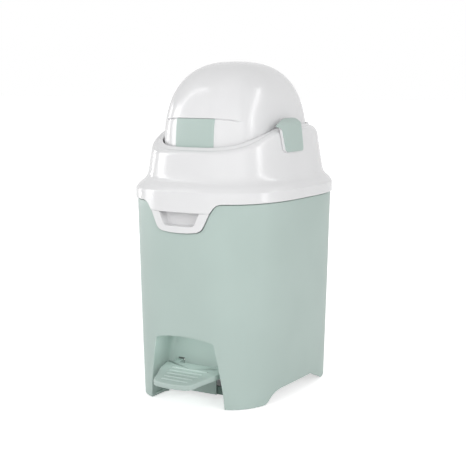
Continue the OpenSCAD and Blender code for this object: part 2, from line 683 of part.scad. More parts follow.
module hood_shell()
    looped(concat(
        [ring(skirt_a, skirt_b, n_rim, skirt_z)],
        [for (s = flare_steps) flare_ring(s[0], s[1], 0)],
        [hood_ring(0, 0, 0), hood_ring(0, 0.4, -3)],
        [for (a = [0 : 22.5 : 90]) shoulder_ring(a, 0)],
        [edge_ring(2, -0.6), edge_ring(0.6, 0), edge_ring(0, -1), edge_ring(0, -lip_h)],
        [edge_ring(hood_wall, -lip_h), edge_ring(hood_wall, -hood_wall - 0.4)],
        [for (a = [90 : -22.5 : 0]) shoulder_ring(a, hood_wall)],
        [hood_ring(hood_wall, 0.4, -3), hood_ring(hood_wall, 0, 0)],
        [for (s = reversed(flare_steps)) flare_ring(s[0], s[1] - 0.08 * (1 - s[1]), hood_wall)],
        [ring(skirt_a - hood_wall, skirt_b - hood_wall, n_rim, skirt_z)]));

// Flat seat for the hinge's leaf on the skirt's rear
module leaf_seat()
    difference() {
        translate([-hinge_half_w - 3, skirt_b - 9, hinge_z + 4]) cube([2 * hinge_half_w + 6, 10, skirt_h - 4]);
        lofted([for (z = [skirt_z - 1, skirt_top + 1]) ring(skirt_a - hood_wall + 0.1, skirt_b - hood_wall + 0.1, n_rim, z)]);
    }

seal_rib_t = 1.6;
module hood() color(white) placed()
    difference() {
        union() {
            hood_shell();
            intersection() {
                band(skirt_a, skirt_b, n_rim, hood_wall, lobe_z, skirt_z + 2);
                along_y(-far, 0) notch_outline(notch_gap);
            }
            // Rib that closes on the seal
            band(neck_a - seal_in_w - 1.2, neck_b - seal_in_d - 1.2, n_rim, seal_rib_t,
                flange_z + flange_h + seal_h + seat_gap, skirt_top + 12.4);
            leaf_seat();
            for (s = [-1, 1]) {
                translate([s > 0 ? boss_x0 : -boss_x1, pivot_y - bush_r - 3, pivot_z - bush_r - 3])
                    cube([boss_x1 - boss_x0, 2 * bush_r + 6, 2 * bush_r + 6]);
                cap_pad(s);
            }
        }
        for (s = [-1, 1])
            rod_x(s > 0 ? boss_x0 - 1 : -boss_x1, s > 0 ? boss_x1 : -boss_x0 + 1, pivot_y, pivot_z, bush_r + run_gap);
        hinge_screw_holes(hinge_z + leaf_screw_h, skirt_b - 5, skirt_b + 2);
    }

// Outline of a side cap in (y, z), shrunk by g
cap_z0 = dome_z - 1;
cap_z1 = dome_z + 50;
function cap_outline(g) = [[12 - g, cap_z0 + 3 + g], [9 - g, cap_z0 + g], [-40 + g, cap_z0 + g], [-45 + g, cap_z0 + 4 + g],
    [-49 + g, cap_z0 + 34], [-52 + g, cap_z0 + 36.5 + g], [-66 + g, cap_z0 + 39.5 + g], [-68 + g, cap_z0 + 42],
    [-60 + g, cap_z1 + 4 - g], [14 - g, cap_z1 + 4 - g]];
// The left cap is the shorter one: its front edge is straight, without the point
function cap_side(s, g) = s > 0 ? cap_outline(g) : [[12 - g, cap_z0 + 3 + g], [9 - g, cap_z0 + g], [-27 + g, cap_z0 + g],
    [-30 + g, cap_z0 + 4 + g], [-30 + g, cap_z1 + 4 - g], [14 - g, cap_z1 + 4 - g]];
// Limit of a side cap in (x, y): its front corner is cut away over the rim
module cap_plan() polygon([[open_a - 10, 40], [open_a - 10, 0], [open_a + 2.2, -10.6], [open_a + 10.5, -39.5],
    [open_a + 15.6, -58.4], [open_a + 19, -80], [open_a + 40, -80], [open_a + 40, 40]]);
cap_t = 4;
cap_pad_t = 1.6;

// Raised pad on the hood's side, under a cap
module cap_pad(s) scale_x(s)
    intersection() {
        along_x(wall_a(cap_z0) - 8, wall_a(cap_z0) + 12) polygon(cap_side(s, -3));
        along_y(-far, far) polygon([[wall_a(cap_z0 - 3) + cap_pad_t, cap_z0 - 3], [wall_a(cap_z0) - hood_wall + 1, cap_z0 - 3],
            [wall_a(rim_z(0) - shoulder_h) - hood_wall + 1, rim_z(0) - shoulder_h],
            [wall_a(rim_z(0) - shoulder_h) + cap_pad_t, rim_z(0) - shoulder_h]]);
    }

module scale_x(s) if (s > 0) children(); else mirror([1, 0, 0]) children();

// Cap in section: down the outside, in under its foot, and up over the rim
function cap_in_x(z) = wall_a(z) + cap_pad_t + seat_gap;
function cap_section() = let (w0 = wall_a(cap_z0), w1 = wall_a(rim_z(0)), rz = rim_z(0)) [
    [cap_in_x(cap_z0), cap_z0], [w0 + cap_pad_t + cap_t, cap_z0], [w1 + cap_pad_t + cap_t, rz + 2.4],
    [w1 + cap_pad_t + 2.6, rz + 8.9], [w1 - 1.5, rz + 13.4], [w1 - 6, rz + 15.6], [open_a + 1, rz + 16],
    [open_a + 1, rz + deck_rise + 0.5], [w1 - 6, rz + 2.2], [w1 - 1.5, rz + 0.6],
    [w1 + 1.9, rz - 2], [cap_in_x(rz - 6), rz - 6]];

module side_cap(s) color(mint) placed() scale_x(s)
    intersection() {
        along_y(-far, far) polygon(cap_section());
        along_x(open_a, wall_a(cap_z0) + 12) polygon(cap_side(s, 0));
        translate([0, 0, cap_z0 - 5]) linear_extrude(height = cap_z1 - cap_z0 + 20) cap_plan();
    }
module side_cap_left() side_cap(-1);
module side_cap_right() side_cap(1);

module pivot_bush(s) color(grey) placed()
    difference() {
        rod_x(s > 0 ? boss_x0 : -boss_x1 + 0.1, s > 0 ? boss_x1 - 0.1 : -boss_x0, pivot_y, pivot_z, bush_r);
        rod_x(-far, far, pivot_y, pivot_z, hub_d / 2 + run_gap);
    }
module pivot_bush_left() pivot_bush(-1);
module pivot_bush_right() pivot_bush(1);

// ---- Dome ----
function dome_k(h) = h <= 0 ? 1 : pow(max(1 - pow(h / dome_h, dome_pow), 0), 1 / dome_pow);
function dome_draft(h) = h < 0 ? -0.35 * h : 0;
// Depth of the front panel's step at angle t, fading out at its corners
function panel_in(t, h) = (h < crease_z - dome_z && sin(t) < 0) ?
    panel_step * smooth((panel_half_w - abs(dome_half_w * 1.12 * cos(t))) / 8) : 0;
function dome_ring(h, inset, step) = let (k = dome_k(h), d = dome_draft(h)) [for (i = [0 : ring_n - 1])
    let (t = 360 * i / ring_n,
        r = rr(max(dome_half_w * k - d, 0.5), max(dome_half_d * k - d, 0.7), n_dome, t) - min(inset, 40) - step * panel_in(t, h))
    [r * cos(t), r * sin(t), dome_z + h]];
crease_h = crease_z - dome_z;
dome_low = -9;
dome_hs = concat([dome_low, 0, crease_h / 2, crease_h - 0.2, crease_h + 0.2],
    [for (a = [30 : 7 : 86]) dome_h * sin(a)], [dome_h * 0.9995]);
dome_in_h = dome_h - dome_wall;
// Height of the dome's lower edge along y, as an outline in (y, z) of all that is cut away below it
module dome_edge_cut()
    along_x(-dome_half_w - 5, dome_half_w + 5)
        polygon([[-dome_half_d - 5, dome_z - 20], [-dome_half_d - 5, dome_z - 7], [-96, dome_z - 7], [-60, dome_z + 2],
            [-28, dome_z + 6], [4, dome_z + 6], [50, dome_z + 18], [96, dome_z + 27], [dome_half_d + 5, dome_z + 28],
            [dome_half_d + 5, dome_z - 20]]);

module dome() color(white) placed()
    difference() {
        lofted([for (h = dome_hs) dome_ring(h, 0, 1)]);
        lofted(concat([for (h = [dome_low - 1, 0, crease_h / 2, crease_h - 6]) dome_ring(h, dome_wall + panel_step, 0)],
            [dome_ring(crease_h + 2, dome_wall, 0)],
            [for (a = [32 : 8 : 80]) let (h = dome_in_h * sin(a)) dome_ring(h, dome_wall, 0)],
            [dome_ring(dome_in_h * 0.997, dome_wall, 0)]));
        dome_edge_cut();
        rod_x(-far, far, pivot_y, pivot_z, hub_d / 2 + run_gap / 2);
    }

module grip_insert() color(mint) placed()
    difference() {
        intersection() {
            lofted([for (h = [dome_low, 0, crease_h / 2, crease_h - 0.6]) dome_ring(h, 0.1, 0)]);
            translate([-insert_half_w, -dome_half_d - 5, dome_z - 20]) cube([2 * insert_half_w, 60, crease_h + 19.6]);
        }
        lofted([for (h = [dome_low - 1, 0, crease_h / 2, crease_h]) dome_ring(h, panel_step - 0.02, 0)]);
        dome_edge_cut();
    }

hub_in = dome_half_w - dome_wall - panel_step - 1.2;
module pivot_hub(s) color(white) placed() scale_x(s) {
    rod_x(hub_in - 2.4, hub_in, pivot_y, pivot_z, hub_d / 2 + 5);
    rod_x(hub_in - 1, boss_x1 - 0.4, pivot_y, pivot_z, hub_d / 2);
}
module pivot_hub_left() pivot_hub(-1);
module pivot_hub_right() pivot_hub(1);

crank_y = -crank_r * cos(crank_rest);
crank_z = -crank_r * sin(crank_rest);
// Crank's arm, cut away below so that it clears the pad when it has swung up
crank_arm = [[0, -7], [crank_r - 0.6, -3.4], [crank_r - 0.6, 3], [crank_r - 4.6, 0.4], [crank_r - 7.2, 0.5],
    [5.2, 4.2], [0, 7]];
module lift_crank() color(steel) placed()
    difference() {
        along_x(-crank_x0 - crank_w, -crank_x0) translate([pivot_y, pivot_z]) union() {
            circle(r = hub_d / 2 + 2.2);
            translate([crank_y, crank_z]) circle(r = crank_end_r);
            rotate(180 + crank_rest) polygon(crank_arm);
        }
        rod_x(-far, far, pivot_y, pivot_z, hub_d / 2 + run_gap / 2);
        rod_y_at(-crank_x0 - crank_w / 2, pivot_y, pivot_y + 20, pivot_z, 1.2 + run_gap);
    }

module crank_screw() color(steel) placed()
    rod_y_at(-crank_x0 - crank_w / 2, pivot_y + hub_d / 2 + 0.1, pivot_y + hub_d / 2 + 3.4, pivot_z, 1.2);

module closing_spring() color(steel) placed()
    translate([dome_half_w + 1.4, pivot_y, pivot_z]) rotate([0, 90, 0]) coil(hub_d / 2 + 1.2, 0.8, 7, 4);

module placed() translate([0, frame_shift, 0]) children();

outer_shell();
rubber_feet();
inner_bucket();
bag_ring();
rim_seal();
shaft_bracket();
shaft_bracket_screws();
rod_guides();
hinge_bracket();
hinge_bracket_screws();
pedal();
pedal_shaft();
lift_lever();
shaft_clips();
push_rod();
rod_foot();
rod_pad();
spring_collar();
return_spring();
hood();
side_cap_left();
side_cap_right();
pivot_bush_left();
pivot_bush_right();
hood_leaf();
hood_leaf_screws();
hinge_pin();
dome();
grip_insert();
pivot_hub_left();
pivot_hub_right();
lift_crank();
crank_screw();
closing_spring();
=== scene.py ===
import math

import bmesh
import bpy
import numpy as np
from mathutils import Matrix, Vector


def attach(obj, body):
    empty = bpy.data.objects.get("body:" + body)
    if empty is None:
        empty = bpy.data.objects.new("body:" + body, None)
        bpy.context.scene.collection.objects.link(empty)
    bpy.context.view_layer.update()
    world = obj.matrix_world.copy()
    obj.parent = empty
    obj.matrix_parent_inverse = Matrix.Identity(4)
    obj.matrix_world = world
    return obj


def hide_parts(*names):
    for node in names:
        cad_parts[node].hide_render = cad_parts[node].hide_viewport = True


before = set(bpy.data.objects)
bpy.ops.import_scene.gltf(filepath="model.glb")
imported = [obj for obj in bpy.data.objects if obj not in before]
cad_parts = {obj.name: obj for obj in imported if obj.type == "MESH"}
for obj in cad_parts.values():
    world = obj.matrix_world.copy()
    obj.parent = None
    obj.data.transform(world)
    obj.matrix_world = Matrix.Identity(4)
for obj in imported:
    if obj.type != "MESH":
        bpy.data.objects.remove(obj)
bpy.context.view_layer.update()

# ---- Outer shell ----
# The outer shell is one deep moulding in mint polypropylene with a satin, faintly grained skin.
# It leans in towards the floor, stands on four corner feet between open arches, and has a niche
# for the pedal, a notch for the hood's lobe and a neck that the hood closes over.

# Millimetres from the shell's middle, which lies this far behind the frame's.
SHIFT = 9.3
# Height, half sizes at the rim, what each loses down to the foot, and wall.
shell_h, rim_w, rim_d, lean_w, lean_d, wall = 316, 127, 171, 11.6, 14.2, 2.5
# Outline's exponents at the rim and the foot.
n_rim, n_foot = 2.95, 3.55
# Heights of the foot, which is its edge's radius, and of the arches.
foot_z, arch_h = 1, 20
# Niche: height, half width at the floor, lean, radius of its top corners, place of its rear wall.
niche_h, niche_half, niche_lean, niche_r, niche_back = 109, 67.3, 17, 4, 106
# Its top drops by crown at crown_x. Radius of the lining's rear edges.
crown, crown_x, lining_r = 5.4, 50, 8
# Shelves in the feet: middle, half a side, and heights of the two faces.
foot_x, foot_y, shelf_half, shelf_z = 81.3, 122, 17, (4, 6.5)


def srgb(red, green, blue):
    """Linear colour of an sRGB one given in 0 to 255."""
    c = np.array([red, green, blue]) / 255
    return (*np.where(c <= 0.04045, c / 12.92, ((c + 0.055) / 1.055) ** 2.4), 1.0)


class Value:
    """A socket. Arithmetic on it adds the Math node that works it out."""

    def __init__(self, tree, socket):
        self.tree, self.socket = tree, socket

    def node(self, kind, settings=(), out=0, **inputs):
        """Adds a node. Inputs, named or as i and a number, take values or links."""
        made = self.tree.nodes.new("ShaderNode" + kind)
        for key, value in settings:
            setattr(made, key, value)
        for key, value in inputs.items():
            numbered = key[1:].isdigit()
            socket = made.inputs[int(key[1:]) if numbered else key.replace("_", " ")]
            if isinstance(value, Value):
                self.tree.links.new(value.socket, socket)
            else:
                socket.default_value = value
        return Value(self.tree, made.outputs[out])

    def math(self, operation, first, second=0.0):
        return self.node("Math", [("operation", operation)], i0=first, i1=second)

    def __add__(self, other):
        return self.math("ADD", self, other)

    def __sub__(self, other):
        return self.math("SUBTRACT", self, other)

    def __rsub__(self, other):
        return self.math("SUBTRACT", other, self)

    def __mul__(self, other):
        return self.math("MULTIPLY", self, other)

    __radd__, __rmul__ = __add__, __mul__

    def step(self, low, high):
        """0 below low, 1 above high, smooth between."""
        return self.node("MapRange", [("interpolation_type", "SMOOTHSTEP")], i0=self, i1=low, i2=high)

    def blend(self, light, dark):
        """sRGB colour light where this value is 0, dark where it is 1."""
        return self.node("Mix", [("data_type", "RGBA")], out=2, i0=self, i6=srgb(*light), i7=srgb(*dark))


def finish(name, paint, **constant):
    """Material: fixed numbers from constant, and what changes over a piece from paint."""
    made = bpy.data.materials.new(name)
    made.use_nodes = True
    shader = made.node_tree.nodes["Principled BSDF"]
    for key, value in constant.items():
        shader.inputs[key.replace("_", " ")].default_value = value
    where = Value(made.node_tree, None).node("TexCoord", out=3)
    for key, value in paint(where).items():
        made.node_tree.links.new(value.socket, shader.inputs[key.replace("_", " ")])
    return made


def moulded(light, dark, rough, grain):
    """Plastic: slow mottling between two near colours, and a fine grain in its skin."""
    def paint(where):
        slow = where.node("TexNoise", i0=where, Scale=9.0, Detail=2.0)
        fine = where.node("TexNoise", i0=where, Scale=1500.0, Detail=3.0)
        broad = where.node("TexNoise", i0=where, Scale=22.0, Detail=1.0)
        skin = where.node("Bump", Strength=grain, Distance=0.0002, Height=fine * 0.7 + broad * 1.5)
        return {"Base_Color": slow.step(0.3, 0.7).blend(light, dark),
                "Roughness": slow * 0.08 + (rough - 0.04) + fine * 0.03,
                "Normal": skin}
    return paint


mint_satin = finish("mint_satin", moulded((187, 204, 198), (184, 201, 195), 0.46, 0.16),
                    Specular_IOR_Level=0.45)


def rr(a, b, n, t):
    """Radius at angle t of the rounded rectangle |x / a|^n + |y / b|^n = 1."""
    return (np.abs(np.cos(t) / a) ** n + np.abs(np.sin(t) / b) ** n) ** (-1 / n)


def depth(a, b, n, x):
    """Its half depth at x: b (1 - |x / a|^n)^(1 / n)."""
    return b * (1 - np.minimum(np.abs(x) / a, 1) ** n) ** (1 / n)


def smooth(f):
    """Eases from 0 to 1."""
    f = np.clip(f, 0, 1)
    return f * f * (3 - 2 * f)


def spots(x, y, z):
    """Points from three coordinates, each an array or one number for all."""
    return np.stack(np.broadcast_arrays(x, y, z), -1)


def around(r, t, z):
    """Points at radius r and angle t, at height z."""
    return spots(r * np.cos(t), r * np.sin(t), z)


def sheet(points, loop_rows=False, loop_cols=True):
    """A grid of points as a surface. Its rows or columns may close in a loop."""
    rows, cols = points.shape[:2]
    i = np.arange(rows if loop_rows else rows - 1)[:, None]
    j = np.arange(cols if loop_cols else cols - 1)[None, :]
    k, m = (i + 1) % rows, (j + 1) % cols
    faces = np.stack([i * cols + j, i * cols + m, k * cols + m, k * cols + j], -1).reshape(-1, 4)
    return points.reshape(-1, 3), faces.tolist()


def tidy(made):
    """Merges doubled points, drops what has no area, and turns surfaces outwards."""
    work = bmesh.new()
    work.from_mesh(made.data)
    bmesh.ops.remove_doubles(work, verts=work.verts, dist=2e-6)
    bmesh.ops.dissolve_degenerate(work, edges=work.edges, dist=1e-7)
    bmesh.ops.recalc_face_normals(work, faces=work.faces)
    work.to_mesh(made.data)
    work.free()


def build(name, surfaces, modifiers=(), sharp=35, cutters=()):
    """Mesh object from surfaces, with modifiers and cutters worked in."""
    points, faces, base = [], [], 0
    for surface_points, surface_faces in surfaces:
        points.append(surface_points)
        faces += [[v + base for v in face] for face in surface_faces]
        base += len(surface_points)
    points = (np.concatenate(points) + [0, SHIFT, 0]) / 1000
    mesh = bpy.data.meshes.new(name)
    mesh.from_pydata(points.tolist(), [], faces)
    made = bpy.data.objects.new(name, mesh)
    bpy.context.scene.collection.objects.link(made)
    tidy(made)
    for kind, settings in modifiers:
        added = made.modifiers.new(kind.lower(), kind)
        for key, value in settings.items():
            setattr(added, key, value)
    for cutter in cutters:
        added = made.modifiers.new("cut", "BOOLEAN")
        added.operation, added.solver, added.object = "DIFFERENCE", "EXACT", cutter
    if modifiers or cutters:
        bpy.context.view_layer.update()
        view = bpy.context.evaluated_depsgraph_get()
        baked = bpy.data.meshes.new_from_object(made.evaluated_get(view))
        made.modifiers.clear()
        made.data = baked
        for cutter in cutters:
            bpy.data.objects.remove(cutter)
        tidy(made)
    made.data.shade_smooth()
    made.data.set_sharp_from_angle(angle=math.radians(sharp))
    return made


def seat(made, body, material, slot, *nodes):
    """Gives a piece its material and its body, and hides the CAD nodes it stands for. Its slot is not used.
    """
    made.data.materials.clear()
    made.data.materials.append(material)
    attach(made, body)
    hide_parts(*nodes)
    return made


def resampled(points, pitch=0.4, count=None):
    """A polyline in even steps, about pitch long or of count points."""
    length = np.r_[0, np.cumsum(np.hypot(*np.diff(points, axis=0).T))]
    s = np.linspace(0, length[-1], count or int(length[-1] / pitch) + 2)
    return np.stack([np.interp(s, length, points[:, k]) for k in (0, 1)], -1)


def rounded_line(points, reach=1.2, pitch=0.4):
    """A polyline with its corners eased over about reach by a bell-shaped mean."""
    line = resampled(np.array(points, float), pitch)
    half = int(3 * reach / pitch)
    weight = np.exp(-0.5 * (np.arange(-half, half + 1) * pitch / reach) ** 2)
    weight /= weight.sum()
    longer = np.r_[2 * line[0] - line[half:0:-1], line, 2 * line[-1] - line[-2:-half - 2:-1]]
    return np.stack([np.convolve(longer[:, k], weight, "valid") for k in (0, 1)], -1)


def shell_half(z, in_by=0.0):
    """Half sizes and exponent at height z, changing evenly from foot to rim."""
    f = z / shell_h
    return rim_w - lean_w * (1 - f) - in_by, rim_d - lean_d * (1 - f) - in_by, n_foot + (n_rim - n_foot) * f


def shell_at(t, z, in_by=0.0):
    """Point of the shell at angle t and height z, in by in_by."""
    return around(rr(*shell_half(z, in_by), t), t, z)


def angle_front(x, z):
    """Angle of the point of the front half at x and z."""
    a, b, n = shell_half(z)
    return np.arctan2(-depth(a, b, n, x), x)


def angle_side(y, z):
    """Angle of the point of the right half at y and z."""
    a, b, n = shell_half(z)
    return np.arctan2(y, depth(b, a, n, y))


def wrapped(line, angle, top=math.inf):
    """A line of places and heights as angles and heights, up to top."""
    return np.c_[angle(*line.T), np.minimum(line[:, 1], top)]


def level_on(line, z):
    """A line carried on at height z to the middle of the rear."""
    t = np.linspace(line[-1, 0] + 0.01, math.pi / 2, 200)
    return np.r_[line, np.c_[t, 0 * t + z]]


def niche_x(z):
    """Niche's half width at height z: less by the lean times the height's share ^ 1.5."""
    return niche_half - niche_lean * (np.maximum(z, 0) / niche_h) ** 1.5


def niche_top(x):
    """Height of the niche's top at x: less by the crown times (x / crown_x) ^ 2.2."""
    return niche_h - crown * (np.abs(x) / crown_x) ** 2.2


def niche_line():
    """Right half of the niche's outline: top from its middle, corner's arc, and side down."""
    corner_z = niche_h - crown - niche_r
    corner_x = niche_x(corner_z) - niche_r
    x = np.linspace(0, corner_x - 2, 24)
    bend = np.radians(np.arange(78, 5, -8.0))
    corner = np.c_[corner_x + niche_r * np.cos(bend), corner_z + niche_r * np.sin(bend)]
    z = np.linspace(corner_z, foot_z, 30)
    return np.r_[np.c_[x, niche_top(x)], corner, np.c_[niche_x(z), z]]


def arch(foot, reach, curve):
    """Arch's end, rising over reach along a curve of shares."""
    share, up_by = np.array(curve).T
    return np.c_[foot + reach * share, foot_z + (arch_h - foot_z) * up_by]


steep = [(0, 0), (0.03, 0.045), (0.14, 0.14), (0.21, 0.3), (0.28, 0.45), (0.36, 0.6), (0.51, 0.79),
         (0.69, 0.91), (1, 1)]
ramp = [(0, 0), (0.4, 0.4), (0.75, 0.71), (1, 1)]
side_line = np.r_[[[-130, foot_z]], arch(-97, 42, steep), arch(92, -48, ramp)[::-1], [[120, foot_z]]]
back_line = np.r_[[[95, foot_z]], arch(78, -42, steep), [[0, arch_h]]]
low = np.r_[wrapped(rounded_line(niche_line()), angle_front),
            wrapped(rounded_line(side_line, 2), angle_side),
            wrapped(rounded_line(back_line, 2), angle_front) * [-1, 1]]
notch = np.array([(0, 270.5), (16, 271), (31, 272.6), (36.5, 275), (40.5, 278.8), (43.5, 284.5), (51, 300),
                  (57.7, 310.5), (62, 314.8), (68, 316), (76, 316)])
up = level_on(wrapped(rounded_line(notch), angle_front, shell_h), shell_h)


def shared_angles(place, lines, count):
    """Angles spread evenly over the summed lengths of lines on a surface."""
    every = np.unique(np.concatenate([line[:, 0] for line in lines]))
    total = 0
    for line in lines:
        length = np.linalg.norm(np.diff(place(*line.T), axis=0), axis=1)
        total = total + np.interp(every, line[:, 0], np.r_[0, np.cumsum(length)])
    return np.interp(np.linspace(0, total[-1], count), total, every)


def whole_turn(half):
    """Angles of the +X half mirrored to a full turn."""
    return np.r_[half, (math.pi - half[1:-1])[::-1]]


def both(half):
    """Heights along the +X half mirrored to a full turn."""
    return np.r_[half, half[1:-1][::-1]]


# Quarter round: shares of its radius in from the edge and from the face.
EDGE = [(1.0, 0.0), (0.62, 0.08), (0.29, 0.29), (0.08, 0.62), (0.0, 1.0)]


def edge_rows(place, t, z, sign, thick, radius=1.0):
    """Rounded edge of a wall, from its outer face to its inner one. sign is 1 where the wall stands above the
    edge and -1 where it hangs below."""
    here = place(t, z)
    along = np.roll(here, -1, 0) - np.roll(here, 1, 0)
    along /= np.linalg.norm(along, axis=1)[:, None]
    out = np.cross(place(t + 1e-4, z) - here, place(t, z + 0.05) - here)
    out /= np.linalg.norm(out, axis=1)[:, None]
    inward = np.cross(out, along) * sign
    rows = [(d * radius, e * radius) for d, e in EDGE] + [(0, thick - 0.7), (0.2, thick - 0.2), (0.7, thick)]
    return np.stack([here + inward * d - out * e for d, e in rows])


def walled(place, t, z_low, z_up, rows, thick, radius_low, radius_up):
    """Closed wall: up the outer face, over the upper edge, down the inner face."""
    foot = edge_rows(place, t, z_low, 1, thick, radius_low)
    head = edge_rows(place, t, z_up, -1, thick, radius_up)
    ends = [(np.unwrap(np.arctan2(e[0][:, 1], e[0][:, 0])), e[0][:, 2]) for e in (foot, head)]
    f = np.linspace(0, 1, rows + 2)[1:-1, None]
    turn = ends[0][0] + (ends[1][0] - ends[0][0]) * f
    height = ends[0][1] + (ends[1][1] - ends[0][1]) * f
    return np.r_[foot[::-1], place(turn, height), head, place(turn, height, thick)[::-1]]


shell_t = shared_angles(shell_at, [low, up], 420)
shell_low = both(np.interp(shell_t, low[:, 0], low[:, 1]))
shell_up = both(np.interp(shell_t, up[:, 0], up[:, 1]))
body = walled(shell_at, whole_turn(shell_t), shell_low, shell_up, 22, wall, foot_z, 1.4)


def carried_round(profile, t):
    """A profile of half widths, half depths and heights carried round."""
    return np.stack([around(rr(a, b, n_rim, t), t, z) for a, b, z in profile])


# The neck leaves this half angle open at the front, for the notch.
neck_gap = 0.5
neck_profile = [(126, 313), (126, 315.2), (124.5, 315.5), (124.2, 316), (124.2, 324.5), (123.7, 325),
                (122.2, 325), (121.7, 324.5), (121.7, 313)]
neck = carried_round([(x, x + (rim_d - rim_w), z) for x, z in neck_profile],
                     np.linspace(neck_gap - math.pi / 2, 1.5 * math.pi - neck_gap, 240))


def capped(rows):
    """Closed profile along an open path, with both ends closed."""
    points, faces = sheet(rows, True, False)
    n, m = rows.shape[:2]
    return points, faces + [[i * m for i in range(n)], [i * m + m - 1 for i in range(n)][::-1]]


liner_line = rounded_line(niche_line(), 0.8, 1.5)
liner_line = np.r_[liner_line[::-1] * [-1, 1], liner_line[1:]]


def sideways(along):
    """Unit vectors to the left of a line's own."""
    return np.c_[-along[:, 1], along[:, 0]] / np.linalg.norm(along, axis=1)[:, None]


def liner():
    """Niche's lining: its outline carried back and rounded into a rear wall, as a seen side and a hidden one
    a wall's thickness out, joined along the front and the floor."""
    x, z = liner_line.T
    out = sideways(np.gradient(liner_line, axis=0))
    out *= np.sign(out[len(out) // 2, 1])
    front = shell_at(angle_front(x, z), z)[:, 1] + 1.3
    straight = -niche_back - lining_r

    def side(thick):
        """Straight rows, a quarter round kept within the outline's top and sides, a flat end."""
        rows = [spots(x + out[:, 0] * thick, front + (straight - front) * f, z + out[:, 1] * thick)
                for f in np.linspace(0, 1, 8)]
        for turned in np.radians(np.arange(15, 91, 15.0)):
            drawn_in = lining_r * (1 - math.cos(turned))
            away, within = thick * math.cos(turned) - drawn_in, thick - drawn_in
            y = straight + (lining_r + thick) * math.sin(turned)
            p = spots(x + out[:, 0] * away, y, z + out[:, 1] * away)
            p[:, 2] = np.minimum(p[:, 2], niche_top(p[:, 0]) + within)
            p[:, 0] = np.sign(p[:, 0]) * np.minimum(np.abs(p[:, 0]), niche_x(p[:, 2]) + within)
            rows.append(p)
        return np.stack(rows + [rows[-1] * [f, 1, 1] for f in (0.5, 0)])

    seen, hidden = side(0.03), side(wall)
    strips = [seen, hidden[::-1], np.stack([hidden[0], seen[0]])]
    strips += [np.stack([seen[:, end], hidden[:, end]]) for end in (0, -1)]
    return [sheet(strip, False, False) for strip in strips]


def block(x0, x1, y0, y1, z0, z1):
    """Six-sided block, for seats and for cutters."""
    p = np.array([[x, y, z] for x in (x0, x1) for y in (y0, y1) for z in (z0, z1)], float)
    return p, [[0, 1, 3, 2], [4, 6, 7, 5], [0, 4, 5, 1], [2, 3, 7, 6], [0, 2, 6, 4], [1, 5, 7, 3]]


def shelf(side_x, side_y):
    """Square slab, pulled in where it would reach out of the shell."""
    middle = (side_x * foot_x, side_y * foot_y)
    f = np.linspace(-1, 1, 41)[:-1]
    one = 1 + 0 * f
    edge = np.r_[np.c_[f, -one], np.c_[one, f], np.c_[-f, one], np.c_[-one, -f]]
    spot = edge * shelf_half + middle
    t, r = np.arctan2(spot[:, 1], spot[:, 0]), np.hypot(*spot.T)
    rows = [around(np.minimum(r, rr(*shell_half(z, 1.2), t)), t, z) for z in shelf_z]
    centres = [np.full_like(rows[0], (*middle, z)) for z in shelf_z]
    return sheet(np.stack([centres[0], *rows, centres[1]]))


# Slots for the pedal's arms, narrower above: inner side, outer side and top.
slots = [build("slot_cutter", [block(*sorted((side * x0, side * x1)), -115, -100, -1, top)])
         for side in (-1, 1) for x0, x1, top in ((25, 48, 40), (33.5, 45.5, 60))]
under = build("floor_cutter", [block(-80, 80, -107, -100, -5, 7.5)])
lining = build("niche_lining", liner(), cutters=slots + [under])
hinge_seat = block(-43, 43, 162, 172, 293, 312)
shelves = [shelf(i, j) for i in (-1, 1) for j in (-1, 1)]
shell = build("outer_shell_skin", [sheet(body, True), capped(neck), hinge_seat] + shelves)
seat(shell, "bin", mint_satin, "mint_plastic", "outer_shell")
seat(lining, "bin", mint_satin, "mint_plastic", "outer_shell")

# ---- Rubber feet ----
# Four grey rubber pads are pressed under the corner feet, on a shelf inside each one, and keep the
# bin from sliding when the pedal is trodden.
def rubber(light, dark, rough):
    """Rubber: matt, with a fine pitted skin."""
    def paint(where):
        pits = where.node("TexNoise", i0=where, Scale=900.0, Detail=2.0)
        patch = where.node("TexNoise", i0=where, Scale=30.0, Detail=3.0)
        return {"Base_Color": patch.step(0.35, 0.7).blend(light, dark),
                "Roughness": pits * 0.15 + rough,
                "Normal": where.node("Bump", Strength=0.3, Distance=0.0002, Height=pits)}
    return paint


def repaint(material, *nodes):
    """Gives CAD nodes whose shape stays a better material."""
    for node in nodes:
        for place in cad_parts[node].material_slots:
            place.material = material


grey_rubber = finish("grey_rubber", rubber((92, 96, 100), (80, 84, 88), 0.62))
repaint(grey_rubber, "rubber_feet")

# ---- Inner bucket ----
# The lift-out bucket is a white polypropylene moulding. It hangs by its flange in the shell's neck
# and is stepped over the pedal's niche. Its front apron fills the shell's notch and has a pocket
# for the fingers that lift the hood.
white_gloss = finish("white_gloss", moulded((237, 237, 238), (234, 234, 235), 0.2, 0.1),
                     Specular_IOR_Level=0.5, Coat_Roughness=0.08)
white_satin = finish("white_satin", moulded((236, 236, 237), (232, 232, 234), 0.36, 0.2))

# Heights of its floor and mouth, and thickness of its floor and wall.
floor_z, mouth_z, floor_t, bucket_wall = 68, 325, 2.2, 2
# Half sizes at the floor, what each gains up to the mouth, and the middle.
bucket_w, bucket_d, wider, deeper, floor_centre = 94, 138, 6, 12, np.array([0, 20, 0.0])
# Step over the niche: its wall's place and its height.
step_y, step_z = -98, 112.3
# The hood's skirt, which the apron continues: half sizes, heights of its edge and top.
skirt_a, skirt_b, skirt_z, skirt_top = 130, 173, 317, 335
# How far in from the skirt the apron lies. Place and top of the pocket's rear wall.
apron_in, pocket_y, pocket_h = 0.35, -160, 302
# Its side walls draw in by a share over their run from lip_y, to a hollow.
lip_y, wall_run, drawn, hollow = -171.6, 14.4, 0.05, 2.8
# Gap round the apron and the hood's lobe.
gap = 0.45


def full_turn(count):
    """Angles of a full turn."""
    return np.linspace(0, 2 * math.pi, count, endpoint=False)


